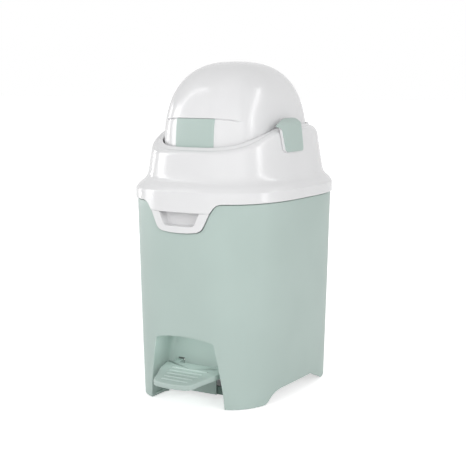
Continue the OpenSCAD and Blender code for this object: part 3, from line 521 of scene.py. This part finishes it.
def bucket_rows(in_by, heights):
    """Rings that widen evenly upwards. What lies in front of the step's wall is pushed back to it, softly, by
    each height's own share."""
    t = full_turn(240)
    rows = []
    for z, pushed in heights:
        f = (z - floor_z) / (mouth_z - floor_z)
        p = around(rr(bucket_w + wider * f - in_by, bucket_d + deeper * f - in_by, n_rim, t), t, z)
        p[:, 1] += np.log1p(np.exp(np.clip((step_y + in_by - p[:, 1]) / 2, -30, 30))) * 2 * pushed
        rows.append(p)
    return rows


def bucket():
    """Rings from the floor's middle up the outside and back down the inside."""
    outer = [(z, 1) for z in (floor_z, 75, 85, 95, 104, 109)]
    outer += [(111, 0.98), (112, 0.9), (step_z, 0.7), (step_z, 0.4), (step_z, 0.15), (112.7, 0.04), (114, 0)]
    outer += [(z, 0) for z in np.linspace(120, 327, 14)]
    inner = [(z + (floor_t if pushed > 0 else 0), pushed) for z, pushed in outer[:0:-1]]
    rows = bucket_rows(0, outer) + bucket_rows(bucket_wall, [(327, 0)] + inner + [(floor_z + floor_t, 1)])
    under, above = ([floor_centre * (1 - f) + ring * [f, f, 1] for f in (0.96, 0.5, 0.0)]
                    for ring in (rows[0], rows[-1]))
    return sheet(np.stack(under[::-1] + rows + above))


def flange():
    """Flat ring with rounded outer edges."""
    hole, rim, edge = (98.6, 148.6), (124.6, 168.6), (125.2, 169.2)
    profile = [(hole, 325), (rim, 325), (edge, 325.6), (edge, 326.9), (rim, 327.5), (hole, 327.5)]
    return sheet(carried_round([(*half, z) for half, z in profile], full_turn(240)), True)


def skirt_at(x, z, in_by=0.0):
    """Point of the skirt's front at x and z."""
    return spots(x, -depth(skirt_a - in_by, skirt_b - in_by, n_rim, x), z)


def outline(points, count, reach=1.2):
    """Right half of an outline made whole, in count points."""
    half = rounded_line(points, reach, 0.3)
    return resampled(np.r_[(half * [-1, 1])[::-1], half[1:]], count=count)


apron_line = [(0, 270.5 + gap), (15.8, 271 + gap), (30.7, 272.6 + gap), (36.5 - gap, 275.3),
              (40.5 - gap, 279), (43.5 - gap, 284.5), (51 - gap, 300), (52.1 - gap, pocket_h)]
pocket_line = [(0, 281.4), (16, 281.4), (21, 281.6), (26, 282.9), (28, 285), (29, 287.4), (36, pocket_h)]


def apron():
    """Inwards from the outline: rounded edge, face, the pocket's lip, side walls and hollow, and its rear
    wall, which closes at the middle of its top."""
    rim, hole = outline(apron_line, 161), outline(pocket_line, 161)
    inward = sideways(np.gradient(rim, axis=0))
    rows = [skirt_at(*(rim + inward * d).T, e + apron_in) for d, e in [(0, 2.4)] + EDGE[::-1]]
    start, end = rim + inward, hole + (rim - hole) * 0.08
    rows += [skirt_at(*(start + (end - start) * f).T, apron_in) for f in np.linspace(0.15, 1, 6)]
    for turned in np.radians(np.arange(22.5, 91, 22.5)):
        p = end + (hole - end) * math.sin(turned)
        rows.append(skirt_at(*p.T, apron_in + 1 - math.cos(turned)))
    x, _, z = rows[-1].T
    for back in (pocket_y - 6, pocket_y):
        f = (back - lip_y) / wall_run
        rows.append(spots(x * (1 - drawn * f), back, z))
    for turned in np.radians(np.arange(30, 91, 20.0)):
        turned_in = 1 - math.cos(turned)
        rows.append(spots(x * (1 - drawn) * (1 - 0.1 * turned_in), pocket_y + hollow * math.sin(turned),
                          z + (pocket_h - z) * 0.12 * turned_in))
    x, y, z = rows[-1].T
    rows += [spots(x * (1 - f), y, z + (pocket_h - z) * f) for f in (0.5, 1.0)]
    return sheet(np.stack(rows), False, False)


def rod_cutter():
    """Pin that cuts the push rod's hole in the flange."""
    t = full_turn(24)
    rows = [spots(-105 + r * np.cos(t), -25.5 + r * np.sin(t), z)
            for r, z in ((0, 300), (4, 300), (4, 335), (0, 335))]
    return build("rod_hole", [sheet(np.stack(rows))])


bucket_body = build("bucket_body", [bucket()])
bucket_flange = build("bucket_flange", [flange()], cutters=[rod_cutter()])
bucket_apron = build("bucket_apron", [apron()], [("SOLIDIFY", dict(thickness=0.0018, offset=-1))])
seat(bucket_body, "bin", white_satin, "white_plastic", "inner_bucket")
seat(bucket_flange, "bin", white_satin, "white_plastic", "inner_bucket")
seat(bucket_apron, "bin", white_gloss, "white_plastic", "inner_bucket")

# ---- Bag ring and rim seal ----
# A loose white ring drops into the bucket's mouth and clamps the bag's edge. A rubber seal lies round
# it on the bucket's flange, where the hood's rib presses on it and keeps the smell in.
repaint(white_satin, "bag_ring")
repaint(grey_rubber, "rim_seal")

# ---- Hood ----
# The hood is a glossy white moulding. Its skirt closes over the shell's neck, a lobe hangs in the
# notch at the front, and above a hollow flare its wall rises to a rounded rim with a deck that
# dips at the front and carries the dome.

# Wall: height and half sizes of its foot, lean, how far back its middle lies, and its own height.
wall_z, wall_a0, wall_b0, draft, wall_back, rim_over = 357.5, 114.4, 154.5, 0.144, 2, 47.5
# Its own thickness, and height of the lobe's lower edge.
hood_wall, lobe_z = 2.2, 302.4
# Bend above the skirt: how far below the flare it starts, and its radius.
bend_drop, bend_r = 3.2, 3.6
# Opening: half sizes and exponent. Height of the dome's widest level.
open_a, open_b, n_dome, dome_z = 92, 131.5, 3.0, 390
# Flare: shares of the way in from the skirt to the wall, and of its height.
flare = np.array([(0, 0), (0.2, 0.14), (0.38, 0.29), (0.56, 0.4), (0.7, 0.5), (0.84, 0.64), (0.93, 0.8),
                  (1, 1)])
# Lip of the opening: offsets out from its edge and up from the deck.
lip = [(0.5, -0.15), (0.12, -0.5), (0, -1), (0, -3), (0, -4.6), (0.3, -4.9), (0.8, -5), (2.2, -5),
       (2.2, -2.6)]
# Pivot's place, and each boss's reach in x, half side and bore.
pivot_y, pivot_z, boss_x, boss_half, boss_bore = -13, 408, (99.5, 105.5), 12, 9.05


def rim_z(y):
    """Height of the rim at y, rising smoothly from the front almost to the middle."""
    return skirt_top + 56.3 + 32.7 * smooth((y + 162.5) / 130)


def deck_up(y):
    """Rise of the deck from the rim to the opening, least between two smooth steps along y."""
    return 5.5 - 4 * smooth((y + 115) / 55) + 3.5 * smooth((y + 40) / 35)


def skirt_place(t, z, in_by=0.0):
    """Point of the skirt at angle t and height z."""
    return around(rr(skirt_a - in_by, skirt_b - in_by, n_rim, t), t, z)


def wall_ring(t, z, in_by):
    """Ring of the wall, which leans in evenly upwards."""
    lean = draft * (z - wall_z)
    return around(rr(wall_a0 - lean - in_by, wall_b0 - lean - in_by, n_rim, t), t, z) + [0, wall_back, 0]


def flare_ring(t, s, u, in_by=0.0, down=0.0):
    """Ring of the flare, at shares s of the way in to the wall and u of the height."""
    a = skirt_a + (wall_a0 - skirt_a) * s - in_by
    b = skirt_b + (wall_b0 - skirt_b) * s - in_by
    return around(rr(a, b, n_rim, t), t, skirt_top - down + (wall_z - skirt_top) * u) + [0, wall_back * s, 0]


lobe_line = rounded_line([(0, lobe_z), (52.1 - gap, lobe_z), (57.7 - gap, 310.5), (62 - gap, 314.8),
                          (68 - gap, skirt_z), (80, skirt_z)], 1.0)
lobe_low = level_on(wrapped(lobe_line, angle_front, skirt_z), skirt_z)
hood_half = shared_angles(skirt_place, [lobe_low], 300)
hood_t = whole_turn(hood_half)
hood_low = both(np.interp(hood_half, lobe_low[:, 0], lobe_low[:, 1]))


def hood_skin():
    """Edge, skirt, bend, flare, wall, shoulder, deck and lip, and the same way back inside."""
    t = hood_t
    rows = list(edge_rows(skirt_place, t, hood_low, 1, hood_wall)[::-1])
    bend_z = skirt_top - bend_drop
    rows += [skirt_place(t, hood_low + 1 + (bend_z - hood_low - 1) * f) for f in np.linspace(0.1, 1, 6)]
    for turned in np.radians([12, 24, 36, 48]):
        z = bend_z + bend_r * math.sin(turned)
        rows.append(skirt_place(t, z, bend_r * (1 - math.cos(turned))))
    fine = np.linspace(0, 1, 15)[2:]
    across, rise = (np.interp(fine, np.linspace(0, 1, len(flare)), share) for share in flare.T)
    rows += [flare_ring(t, s, u) for s, u in zip(across, rise)]
    y_rim = rr(wall_a0 - rim_over * draft, wall_b0 - rim_over * draft, n_rim, t) * np.sin(t)
    top = rim_z(y_rim)
    behind = smooth((y_rim - 20) / 80)
    round_in, round_up = 8 + 3 * behind, 8 + 6 * behind
    rows += [wall_ring(t, wall_z + (top + 1 - round_up - wall_z) * f, 0) for f in np.linspace(0.08, 1, 12)]
    for turned in np.radians(np.arange(10, 91, 10.0)):
        z = top + 1 - round_up * (1 - math.sin(turned))
        rows.append(wall_ring(t, z, round_in * (1 - math.cos(turned))))
    shoulder = rows[-1]
    hole, rim = rr(open_a, open_b, n_dome, t), top + deck_up(y_rim)
    inner = around(hole + 1.2, t, rim)
    for f in np.linspace(0.15, 1, 7):
        p = shoulder + (inner - shoulder) * f
        p[:, 2] = shoulder[:, 2] + (rim - shoulder[:, 2]) * math.sin(f * math.pi / 2)
        rows.append(p)
    rows += [around(hole + d, t, rim + h) for d, h in lip]
    for turned in np.radians([90, 60, 30, 0]):
        z = top + 1 - round_up + (round_up - hood_wall) * math.sin(turned)
        rows.append(wall_ring(t, z, hood_wall + (round_in - hood_wall) * (1 - math.cos(turned))))
    rows.append(wall_ring(t, wall_z + 4, hood_wall))
    rows += [flare_ring(t, s, u, hood_wall, 1.6) for s, u in flare[::-1]]
    rows.append(skirt_place(t, hood_low * 0.5 + (skirt_top - 3) * 0.5, hood_wall))
    return sheet(np.stack(rows), True)


def seal_rib():
    """Rib that presses on the rim seal: a slim profile carried round."""
    profile = [(0, 347.4), (0, 330.6), (0.3, 330.3), (1.3, 330.3), (1.6, 330.6), (1.6, 347.4)]
    return sheet(carried_round([(117 - d, 158 - d, z) for d, z in profile], full_turn(200)), True)


def wheel(x, y, z, r, t):
    """Ring of radius r about an axis along x through y and z."""
    return spots(x, y + r * np.cos(t), z + r * np.sin(t))


def bored(x0, x1, half, radius):
    """Square boss with a round bore about the dome's pivot. The square's radius is half over the larger of
    the angle's cosine and sine."""
    t = full_turn(64)
    square = half * (1 / np.maximum(np.abs(np.cos(t)), np.abs(np.sin(t))))
    return sheet(np.stack([wheel(x, pivot_y, pivot_z, r, t) for x, r in
                           ((x0, radius), (x1, radius), (x1, square), (x0, square))]), True)


bosses = [bored(*sorted(s * x for x in boss_x), boss_half, boss_bore) for s in (-1, 1)]
leaf_seat = block(-43, 43, 170, 173.6, 321, 334.6)
hood = build("hood_shell", [hood_skin(), seal_rib(), leaf_seat] + bosses, sharp=50)
seat(hood, "hood", white_gloss, "white_gloss", "hood")

# ---- Rear hinge ----
# A pressed and zinc plated bracket is screwed to the shell's rear wall and a leaf to the hood. A pin
# through their knuckles lets the hood tip back.
def brushed(name, light, dark, rough, along, metallic=1.0):
    """Drawn or rolled steel: fine streaks in colour, roughness and relief."""
    def paint(where):
        drawn_out = where.node("Mapping", i0=where, Scale=along)
        streak = drawn_out.node("TexNoise", i0=drawn_out, Scale=400.0, Detail=4.0)
        dull = where.node("TexNoise", i0=where, Scale=40.0, Detail=2.0)
        return {"Base_Color": (streak * 0.6 + dull * 0.4).step(0.3, 0.7).blend(light, dark),
                "Roughness": streak * 0.14 + (dull * 0.08 + rough),
                "Normal": streak.node("Bump", Strength=0.15, Distance=0.0001, Height=streak)}
    return finish(name, paint, Metallic=metallic)


zinc_steel = brushed("zinc_steel", (186, 189, 192), (164, 168, 172), 0.26, (0.05, 1, 1))
repaint(zinc_steel, "hinge_bracket", "hinge_bracket_screws", "hood_leaf", "hood_leaf_screws", "hinge_pin")

# ---- Side caps ----
# A satin mint cap is clipped over the hood's rim on each side, on a raised white pad of the hood. It
# hides the dome's pivot and hooks in over the deck. The right cap's front corner runs out to a point
# along the rim, and the left cap ends short of it.

# Height of a cap's lower edge, and how far its face stands out from the wall there.
cap_z, cap_out = 389, 5.6
# Thickness of a cap, how far in from it the pad's face lies, and the pad's thickness.
cap_t, pad_in, pad_t = 1.7, 1.75, 4.4
long_line = rounded_line([(-34, 388.6), (-40, 389), (-45, 393), (-49, 423), (-52, 425.5), (-66, 428.5),
                          (-68, 431), (-66, 434), (-66, 456)], 1.0)
short_line = rounded_line([(-22, 388.6), (-27, 389), (-30, 392.5), (-30, 440), (-30, 456)], 1.0)
pad_line = rounded_line([(-34, 388.6), (-40, 389), (-45, 393), (-49, 424), (-49, 456)], 1.0)
rear_line = rounded_line([(6, 388.6), (9.5, 389.3), (12, 393), (14, 440), (14, 456)], 1.3)
# Limit of the front over the rim, in x and y.
over_rim = np.array([(94.2, -10.6), (102.5, -39.5), (107.6, -58.4), (111, -72), (125, -95)])


def cap(side, front_line, in_by=0.0):
    """Outer face of a cap: its section in x and z carried along y, slightly crowned, from front_line, or the
    limit over the rim where that lies further back, to rear_line."""
    edge_z = rim_z(0.0)
    low_x, high_x = (wall_a0 - draft * (z - wall_z) for z in (cap_z, edge_z))
    section = rounded_line([(low_x + cap_out, cap_z), (high_x + cap_out, edge_z + 2.4),
                            (high_x + 4.2, edge_z + 8.9), (high_x - 1.5, edge_z + 13.4),
                            (high_x - 6, edge_z + 15.6), (open_a + 1, edge_z + 16)], 1.6)
    last = len(section) - 1
    s = np.r_[0, 0.004, 0.012, np.linspace(0.025, 0.97, 64), 0.985, 1] * last
    x, z = (np.interp(s, np.arange(last + 1), section[:, k]) for k in (0, 1))
    out = np.stack([np.gradient(z), -np.gradient(x)]) / np.hypot(np.gradient(x), np.gradient(z))
    front = np.maximum(np.interp(z, front_line[:, 1], front_line[:, 0]),
                       np.interp(x, over_rim[:, 0], over_rim[:, 1]))
    rear = np.interp(z, rear_line[:, 1], rear_line[:, 0])
    v = np.r_[0, 0.02, 0.05, np.linspace(0.1, 0.9, 22), 0.95, 0.98, 1]
    y = front[:, None] + (rear - front)[:, None] * v
    crowned = 0.5 * (1 - (2 * v - 1) ** 2)
    x, z = x - out[0] * in_by, z - out[1] * in_by
    return sheet(spots(side * (x[:, None] + crowned), y, z[:, None]), False, False)


def thickened(thickness, edge, segments):
    """Modifiers for a face's thickness and rounded edges."""
    return [("SOLIDIFY", dict(thickness=thickness / 1000, offset=-1, use_even_offset=True)),
            ("BEVEL", dict(width=edge / 1000, segments=segments, angle_limit=math.radians(50)))]


for name, side, cap_front, pad_front in (("left", -1, short_line, short_line),
                                         ("right", 1, long_line, pad_line)):
    made = build("side_cap_" + name + "_skin", [cap(side, cap_front)], thickened(cap_t, 0.6, 3))
    seat(made, "hood", mint_satin, "mint_plastic", "side_cap_" + name)
    pad = build("cap_pad_" + name, [cap(side, pad_front, pad_in)], thickened(pad_t, 0.5, 2))
    seat(pad, "hood", white_gloss, "white_gloss", "hood")

# ---- Dome ----
# The dome is the swinging lid, a glossy white moulding. Below a crease at the front a panel lies
# 1.5 mm back, and the lower edge is cut up towards the rear so that it can swing up inside the deck.

# Half sizes at its widest level, height above that, exponent of its profile, and wall.
half_w, half_d, dome_h, power, dome_wall = 90, 130, 138, 2.57, 2.5
# Panel: how far in it lies, half its width, how wide its sides fade, and the crease's height.
step, panel_half, panel_fade, crease = 1.5, 72, 13, 52
# The crease falls by fall_by at fall_x, with a power of the distance.
fall_by, fall_x, fall_power = 4.4, 66.7, 4.8
# Groove under the crease: heights from it, and shares of the step.
groove = [(-2.6, 1.0), (-2.0, 1.5), (-1.5, 2.0), (-0.9, 2.1), (-0.55, 1.8), (-0.35, 0.7), (-0.15, 0.15),
          (0.3, 0)]
# Lower edge: places from front to rear, and heights.
edge_y = [-135, -96, -60, -28, 4, 50, 96, 135]
edge_z = [383, 383, 392, 396, 396, 408, 417, 418]
edge_line = rounded_line(np.c_[edge_y, edge_z], 5)


def shrunk(h):
    """Half sizes of the dome at height h, times (1 - (h / height)^power)^(1 / power) above its widest level
    and drawn in evenly below it."""
    k = np.maximum(1 - (np.maximum(h, 0) / dome_h) ** power, 0) ** (1 / power)
    out = 0.35 * np.minimum(h, 0)
    return half_w * k + out, half_d * k + out


def dome_at(t, h, in_by=0.0):
    """Point of the dome at angle t and height h above its widest level, in by in_by."""
    a, b = shrunk(h)
    return around(np.maximum(rr(a + 1e-3, b + 1e-3, n_dome, t) - in_by, 0), t, dome_z + h)


def dome_low(t):
    """Height of the dome's lower edge at angle t."""
    y = rr(half_w, half_d, n_dome, t) * np.sin(t)
    return np.interp(y, edge_line[:, 0], edge_line[:, 1]) - dome_z


def panel(t, h):
    """How far the front panel lies in: its step, easing to 0 at its sides."""
    p = dome_at(t, h)
    return step * smooth((panel_half - np.abs(p[:, 0])) / panel_fade) * (p[:, 1] < 0)


def dome_skin():
    """Rounded lower edge, panel, groove and vault up to the top, and the same way back inside. Angles lie
    closer where the panel's sides fade."""
    half = np.r_[np.linspace(-math.pi / 2, math.pi / 2, 220), np.linspace(-1.02, -0.90, 26)]
    t = whole_turn(np.unique(half))
    low_h = dome_low(t)
    across = np.minimum(np.abs(dome_at(t, crease + 0 * t)[:, 0]), panel_half)
    fall = fall_by * (across / fall_x) ** fall_power
    outer = []
    for d, e in ((0, 1.25), (0.05, 0.8), (0.25, 0.4), (0.6, 0.1), (1.1, 0)):
        outer.append(dome_at(t, low_h + d, e + panel(t, low_h + d)))
    for f in np.linspace(0.06, 1, 14):
        h = low_h + 1.1 + (crease - 2.8 - fall - low_h - 1.1) * f
        outer.append(dome_at(t, h, panel(t, h)))
    for d, share in groove:
        h = crease + d - fall
        outer.append(dome_at(t, h, share * panel(t, h)))
    start = math.asin(((crease + 1) / dome_h) ** (power / 2))
    outer += [dome_at(t, dome_h * math.sin(phi) ** (2 / power) + 0 * t)
              for phi in np.linspace(start, math.pi / 2, 44)]
    inner = []
    for f in np.linspace(0, 1, 8):
        h = low_h + 0.05 + (crease - low_h) * f
        inner.append(dome_at(t, h, dome_wall + panel(t, h)))
    inner += [dome_at(t, (dome_h - dome_wall) * math.sin(phi) ** (2 / power) + 0 * t, dome_wall)
              for phi in np.linspace(start + 0.03, math.pi / 2, 24)]
    inner += [inner[-1] * [f, f, 1] for f in (0.5, 1e-5)]
    return sheet(np.stack(outer + inner[::-1]), True)


seat(build("dome_shell", [dome_skin()], sharp=50), "dome", white_gloss, "white_gloss", "dome")

# ---- Grip insert ----
# A mint plate is snapped into the middle of the dome's front panel, from the crease down to the
# dome's edge, as the place where a hand lifts the dome.

# Half width, how far in from the dome's outline its face lies, and least thickness and depth.
insert_half, insert_in, insert_t, insert_deep = 34, 0.15, 1.6, 2.3


def grip_plate():
    """Plate that follows the dome: face with rounded edges, back, and a strip round both."""
    edge = np.array([0, 0.25, 0.8])
    across = np.r_[edge - insert_half, np.linspace(2 - insert_half, insert_half - 2, 41),
                   insert_half - edge[::-1]]
    side_in = np.r_[0.9, 0.25, 0, np.zeros(41), 0, 0.25, 0.9]
    up_by = np.r_[-7.1, -6.9, -6.3, np.linspace(-5, crease - 2.2, 26), crease - 1.3, crease - 0.95][:, None]
    end_in = np.r_[0.9, 0.25, 0, np.zeros(26), 0, 0.3][:, None]
    y = -depth(*shrunk(up_by), n_dome, across)
    face = spots(across, y + insert_in + np.maximum(side_in, end_in), dome_z + up_by)
    back = face + [0, insert_t, 0]
    back[:, :, 1] = np.maximum(back[:, :, 1], y + insert_deep)
    points, faces = sheet(face, False, False)
    rows, cols = face.shape[:2]
    n = rows * cols
    number = np.arange(n).reshape(rows, cols)
    rim = np.r_[number[0], number[1:, -1], number[-1, -2::-1], number[-2:0:-1, 0]]
    before = np.roll(rim, 1)
    faces = faces + [[v + n for v in face[::-1]] for face in faces]
    faces += np.stack([rim, before, before + n, rim + n], -1).tolist()
    return np.r_[points, back.reshape(-1, 3)], faces


seat(build("grip_plate", [grip_plate()], sharp=60), "dome", mint_satin, "mint_plastic", "grip_insert")

# ---- Pivot hardware ----
# Hubs on the dome turn in grey acetal bushes in the hood's bosses. On the left a steel crank is
# clamped on the hub by a grub screw, and on the right a coiled wire spring closes the dome.
acetal = finish("grey_acetal", moulded((118, 122, 126), (108, 112, 116), 0.38, 0.1))
spring_wire = brushed("spring_wire", (172, 174, 178), (140, 143, 148), 0.24, (1, 1, 0.3))
repaint(acetal, "pivot_bush_left", "pivot_bush_right")
repaint(white_satin, "pivot_hub_left", "pivot_hub_right")
repaint(zinc_steel, "lift_crank", "crank_screw")
repaint(spring_wire, "closing_spring")

# ---- Pedal ----
# The pedal is a hollow mint moulding on two arms that reach back through the niche's rear wall to
# a steel shaft. Five ribs across its top give the foot a grip.

# Front and rear end, height of the front edge, and slope up towards the rear.
pedal_front, pedal_rear, pedal_top, slope = -200.6, -119, 44, math.radians(8.8)
pedal_line = [(0, pedal_front), (14, -199.7), (26, -198), (33, -194.6), (37, -187), (40, -176), (47, -158),
              (51.4, -149), (56, pedal_rear)]
# Thickness. Edge and skirt: offsets in from the outline and up from the top.
pedal_t = 2.2
pedal_edge = [(5, 0), (3.4, 0), (2.2, 0), (1.3, -0.2), (0.6, -0.65), (0.15, -1.3), (0, -2.2), (0, -5),
              (0, -7.5), (0.3, -8), (2.2, -8), (2.6, -7.5), (2.8, -4), (3.4, -2.4)]
# Ribs: half length and place of the first, what each next one gains, width and height.
rib_half, rib_y, rib_longer, rib_pitch, rib_w, rib_h = 24, -184.6, 2.2, 10.7, 1.3, 0.9
# Place of the shaft, and left side and thickness of each arm.
shaft_y, shaft_z, arm_x, arm_t = -85, 30, (-44.5, 34.5), 10


def on_slope(p):
    """Turns points about the pedal's front top edge into its slope."""
    y, z = p[..., 1] - pedal_front, p[..., 2]
    return spots(p[..., 0], pedal_front + y * math.cos(slope) - z * math.sin(slope),
                 pedal_top + y * math.sin(slope) + z * math.cos(slope))


def pedal_plate():
    """Rings of the outline: the top from its middle, round the edge, and back beneath."""
    half = rounded_line(pedal_line + [(52, pedal_rear)], 1.6, 1.0)
    half = np.r_[half, [[x, pedal_rear] for x in np.linspace(50, 0, 20)]]
    loop = np.r_[half, (half[1:-1] * [-1, 1])[::-1]]
    along = np.roll(loop, -1, 0) - np.roll(loop, 1, 0)
    inward = sideways(along)
    middle = np.c_[loop[:, 0] * 0.0, np.clip(loop[:, 1], -175, -140)]
    flat = [middle + (loop + inward * 6 - middle) * f for f in (0, 0.4, 0.8)]
    rings = [(p, 0) for p in flat] + [(loop + inward * d, h) for d, h in pedal_edge] \
        + [(p, -pedal_t) for p in flat[::-1]]
    return sheet(on_slope(np.stack([np.c_[p, 0 * p[:, 0] + h] for p, h in rings])))


def ribs():
    """Low oval bars across the top, with rounded ends."""
    made = []
    s = full_turn(20)
    for k in range(5):
        half, y = rib_half + rib_longer * k, rib_y + rib_pitch * k
        x = np.r_[-half, 0.3 - half, 1 - half, np.linspace(2.5 - half, half - 2.5, 9),
                  half - 1, half - 0.3, half]
        size = np.r_[0.01, 1.0, 1.5, np.full(9, 1.7), 1.5, 1.0, 0.01]
        rows = [spots(at, y + rib_w * r * np.cos(s), rib_h * r * np.sin(s) - 0.2)
                for at, r in zip(x, size)]
        made.append(sheet(on_slope(np.stack(rows))))
    return made


def arms():
    """An outline seen from the side, carried across, with round bosses bored for the shaft."""
    line = np.array([(-133, 44), (-133, 52), (-116, 57.5), (-108, 58), (-98, 52), (-79.6, 38.4), (-90, 21.3),
                     (-108, 34)], float)
    n = len(line)
    t = full_turn(48)
    made = []
    for x0 in arm_x:
        x1 = x0 + arm_t
        points, faces = sheet(np.stack([np.c_[np.full(n, x), line] for x in (x0, x1)]))
        made.append((points, faces + [list(range(n)), list(range(2 * n - 1, n - 1, -1))]))
        profile = [(x0, 4.05), (x0, 9.3), (x0 + 0.7, 10), (x1 - 0.7, 10), (x1, 9.3), (x1, 4.05)]
        made.append(sheet(np.stack([wheel(x, shaft_y, shaft_z, r, t) for x, r in profile]), True))
    return made


pedal = build("pedal_moulding", [pedal_plate()] + ribs() + arms(), sharp=45)
seat(pedal, "pedal", mint_satin, "mint_plastic", "pedal")

# ---- Pedal linkage ----
# The pedal's zinc plated shaft turns in a pressed steel bracket behind the niche, coloured a dark
# greenish grey as painted shade for the dark seen through the slots. Its lever lifts a drawn steel rod
# in two white guides up to the crank, and a coil spring brings it back. The rod's foot and the shaft's
# clips are acetal, and the pad on the rod is rubber.
drawn_steel = brushed("drawn_steel", (190, 193, 196), (168, 172, 176), 0.22, (1, 1, 0.05))
# Painted shade: the bracket's dark greenish grey stands in for the shade seen through the niche's slots.
shade_painted = brushed("phosphated_steel", (98, 116, 110), (88, 105, 99), 0.5, (1, 1, 1), 0.6)
repaint(shade_painted, "shaft_bracket")
repaint(zinc_steel, "pedal_shaft", "shaft_bracket_screws", "lift_lever")
repaint(drawn_steel, "push_rod", "spring_collar")
repaint(spring_wire, "return_spring")
repaint(acetal, "rod_foot", "shaft_clips")
repaint(white_satin, "rod_guides")
repaint(grey_rubber, "rod_pad")

# ---- Floor, camera and lamps ----
# The bin stands in an even white studio on a pale floor that shows plain white, with a painted shadow
# darkening it under the bin. Large soft lamps light its sides, a small one in the niche's mouth lightens
# the niche, and tall strips beside the bin only draw the streaks on its gloss. Places here are in metres.

# Middle of the painted shadow under the bin, and from where to where it fades, across and along.
dark_x, dark_y, fade_x, fade_y = -0.035, 0.055, (0.05, 0.08), (0.09, 0.11)


def painted(where):
    """Pale paint, mottled so little that it hardly shows."""
    mottle = where.node("TexNoise", i0=where, Scale=3.0)
    return {"Base_Color": mottle.blend((246, 246, 246), (244, 244, 244))}


def backdrop(tree, out, white, added, tone=None):
    """Shows camera, glossy and transmitted rays a glow, beside the output's own shader or in its place."""
    output = tree.nodes[out]
    plain = Value(tree, output.inputs[0].links[0].from_socket)
    rays = plain.node("LightPath").socket.node.outputs
    camera, glossy, through = (Value(tree, rays[k]) for k in
                               ("Is Camera Ray", "Is Glossy Ray", "Is Transmission Ray"))
    glow = plain.node("Emission", Strength=white, **({"Color": tone(plain)} if tone else {}))
    shows = plain.node("AddShader", i0=plain, i1=glow) if added else glow
    mixed = plain.node("MixShader", i0=camera + glossy + through, i1=plain, i2=shows)
    tree.links.new(mixed.socket, output.inputs[0])


def under_bin(value):
    """Painted shadow in the floor's glow: dark grey in a soft oblong under the bin, where no light falls, and
    white outside.
    """
    where = value.node("TexCoord", out=3)
    axes = where.node("SeparateXYZ", i0=where).socket.node.outputs
    x, y = Value(value.tree, axes[0]) - dark_x, Value(value.tree, axes[1]) - dark_y
    x, y = (v.math("ABSOLUTE", v) for v in (x, y))
    outside = x.math("MAXIMUM", x.step(*fade_x), y.step(*fade_y))
    return outside * 0.9 + 0.1


floor = finish("pale_floor", painted, Roughness=0.9, Specular_IOR_Level=0.1)
backdrop(floor.node_tree, "Material Output", 0.6, True, under_bin)
mesh = bpy.data.meshes.new("floor")
mesh.from_pydata([(-20, -20, 0), (20, -20, 0), (20, 20, 0), (-20, 20, 0)], [], [(0, 1, 2, 3)])
ground = bpy.data.objects.new("floor", mesh)
ground.data.materials.append(floor)
bpy.context.scene.collection.objects.link(ground)

world = bpy.data.worlds.new("studio")
bpy.context.scene.world = world
world.use_nodes = True
sky = world.node_tree.nodes["Background"]
sky.inputs["Color"].default_value = (1, 1, 1, 1)
sky.inputs["Strength"].default_value = 0.5
backdrop(world.node_tree, "World Output", 1.0, False)

middle = (0, -0.05, 0.35)


def lamp(name, start, end, width, power, seen_in, aim=middle):
    """Lamp from start to end, facing aim. seen_in says what it lights: body or gloss."""
    start, end, aim = Vector(start), Vector(end), Vector(aim)
    centre = (start + end) / 2
    data = bpy.data.lights.new(name, "AREA")
    data.shape, data.size, data.size_y, data.energy = "RECTANGLE", width, (end - start).length, power
    made = bpy.data.objects.new(name, data)
    back = (centre - aim).normalized()
    side = (end - start).cross(back).normalized()
    turned = Matrix((side, back.cross(side), back)).transposed().to_4x4()
    made.matrix_world = Matrix.Translation(centre) @ turned
    made.visible_camera = False
    made.visible_glossy, made.visible_diffuse = seen_in == "gloss", seen_in == "body"
    bpy.context.scene.collection.objects.link(made)


lamp("key", (-1.5, -1.7, 0.9), (-1.5, -1.7, 2.1), 1.0, 9.5, "body")
lamp("fill", (1.9, -1.1, 0.5), (1.9, -1.1, 1.7), 1.0, 15, "body")
lamp("front", (0.3, -2.1, 0.2), (0.3, -2.0, 1.3), 1.4, 6, "body")
lamp("niche_light", (0, -0.152, 0.078), (0, -0.152, 0.098), 0.09, 0.011, "body", (0, 0, 0.07))
lamp("rear", (-1.1, 1.9, 0.5), (-1.1, 1.9, 1.5), 1.0, 7, "body")
lamp("wide_strip_left", (-1.94, -1.0, 0.03), (-1.94, -1.0, 1.15), 0.76, 15, "gloss")
lamp("near_strip_left", (-0.74, -0.435, 0.6), (-0.74, -0.435, 0.82), 0.22, 0.8, "gloss", (-0.1, -0.15, 0.36))
lamp("tall_strip_left", (-1.82, -1.2, 1.15), (-1.82, -1.2, 3.0), 0.24, 8, "gloss")
lamp("thin_strip_left", (-2.1, 0.2, 0.03), (-2.1, 0.2, 1.0), 0.24, 6, "gloss")
lamp("low_strip_right", (2.11, 0.46, 0.02), (2.11, 0.46, 0.3), 0.4, 2, "gloss")
lamp("strip_right", (2.11, 0.46, 0.62), (2.11, 0.46, 0.95), 0.36, 2, "gloss")
lamp("slanting_strip_right", (2.10, 0.38, 0.9), (1.11, 1.35, 1.6), 0.24, 6, "gloss")

# Focal length and sensor in millimetres, place and direction of view.
lens, sensor, eye, view = 84.67, 36, (0.912886, -1.516778, 0.503782), (-0.5114, 0.8477, -0.1411)
camera = bpy.data.objects.new("camera", bpy.data.cameras.new("camera"))
camera.data.lens, camera.data.sensor_width = lens, sensor
camera.location = eye
camera.rotation_euler = Vector(view).to_track_quat("-Z", "Y").to_euler()
bpy.context.scene.collection.objects.link(camera)
bpy.context.scene.camera = camera
bpy.context.scene.view_settings.view_transform = "Standard"
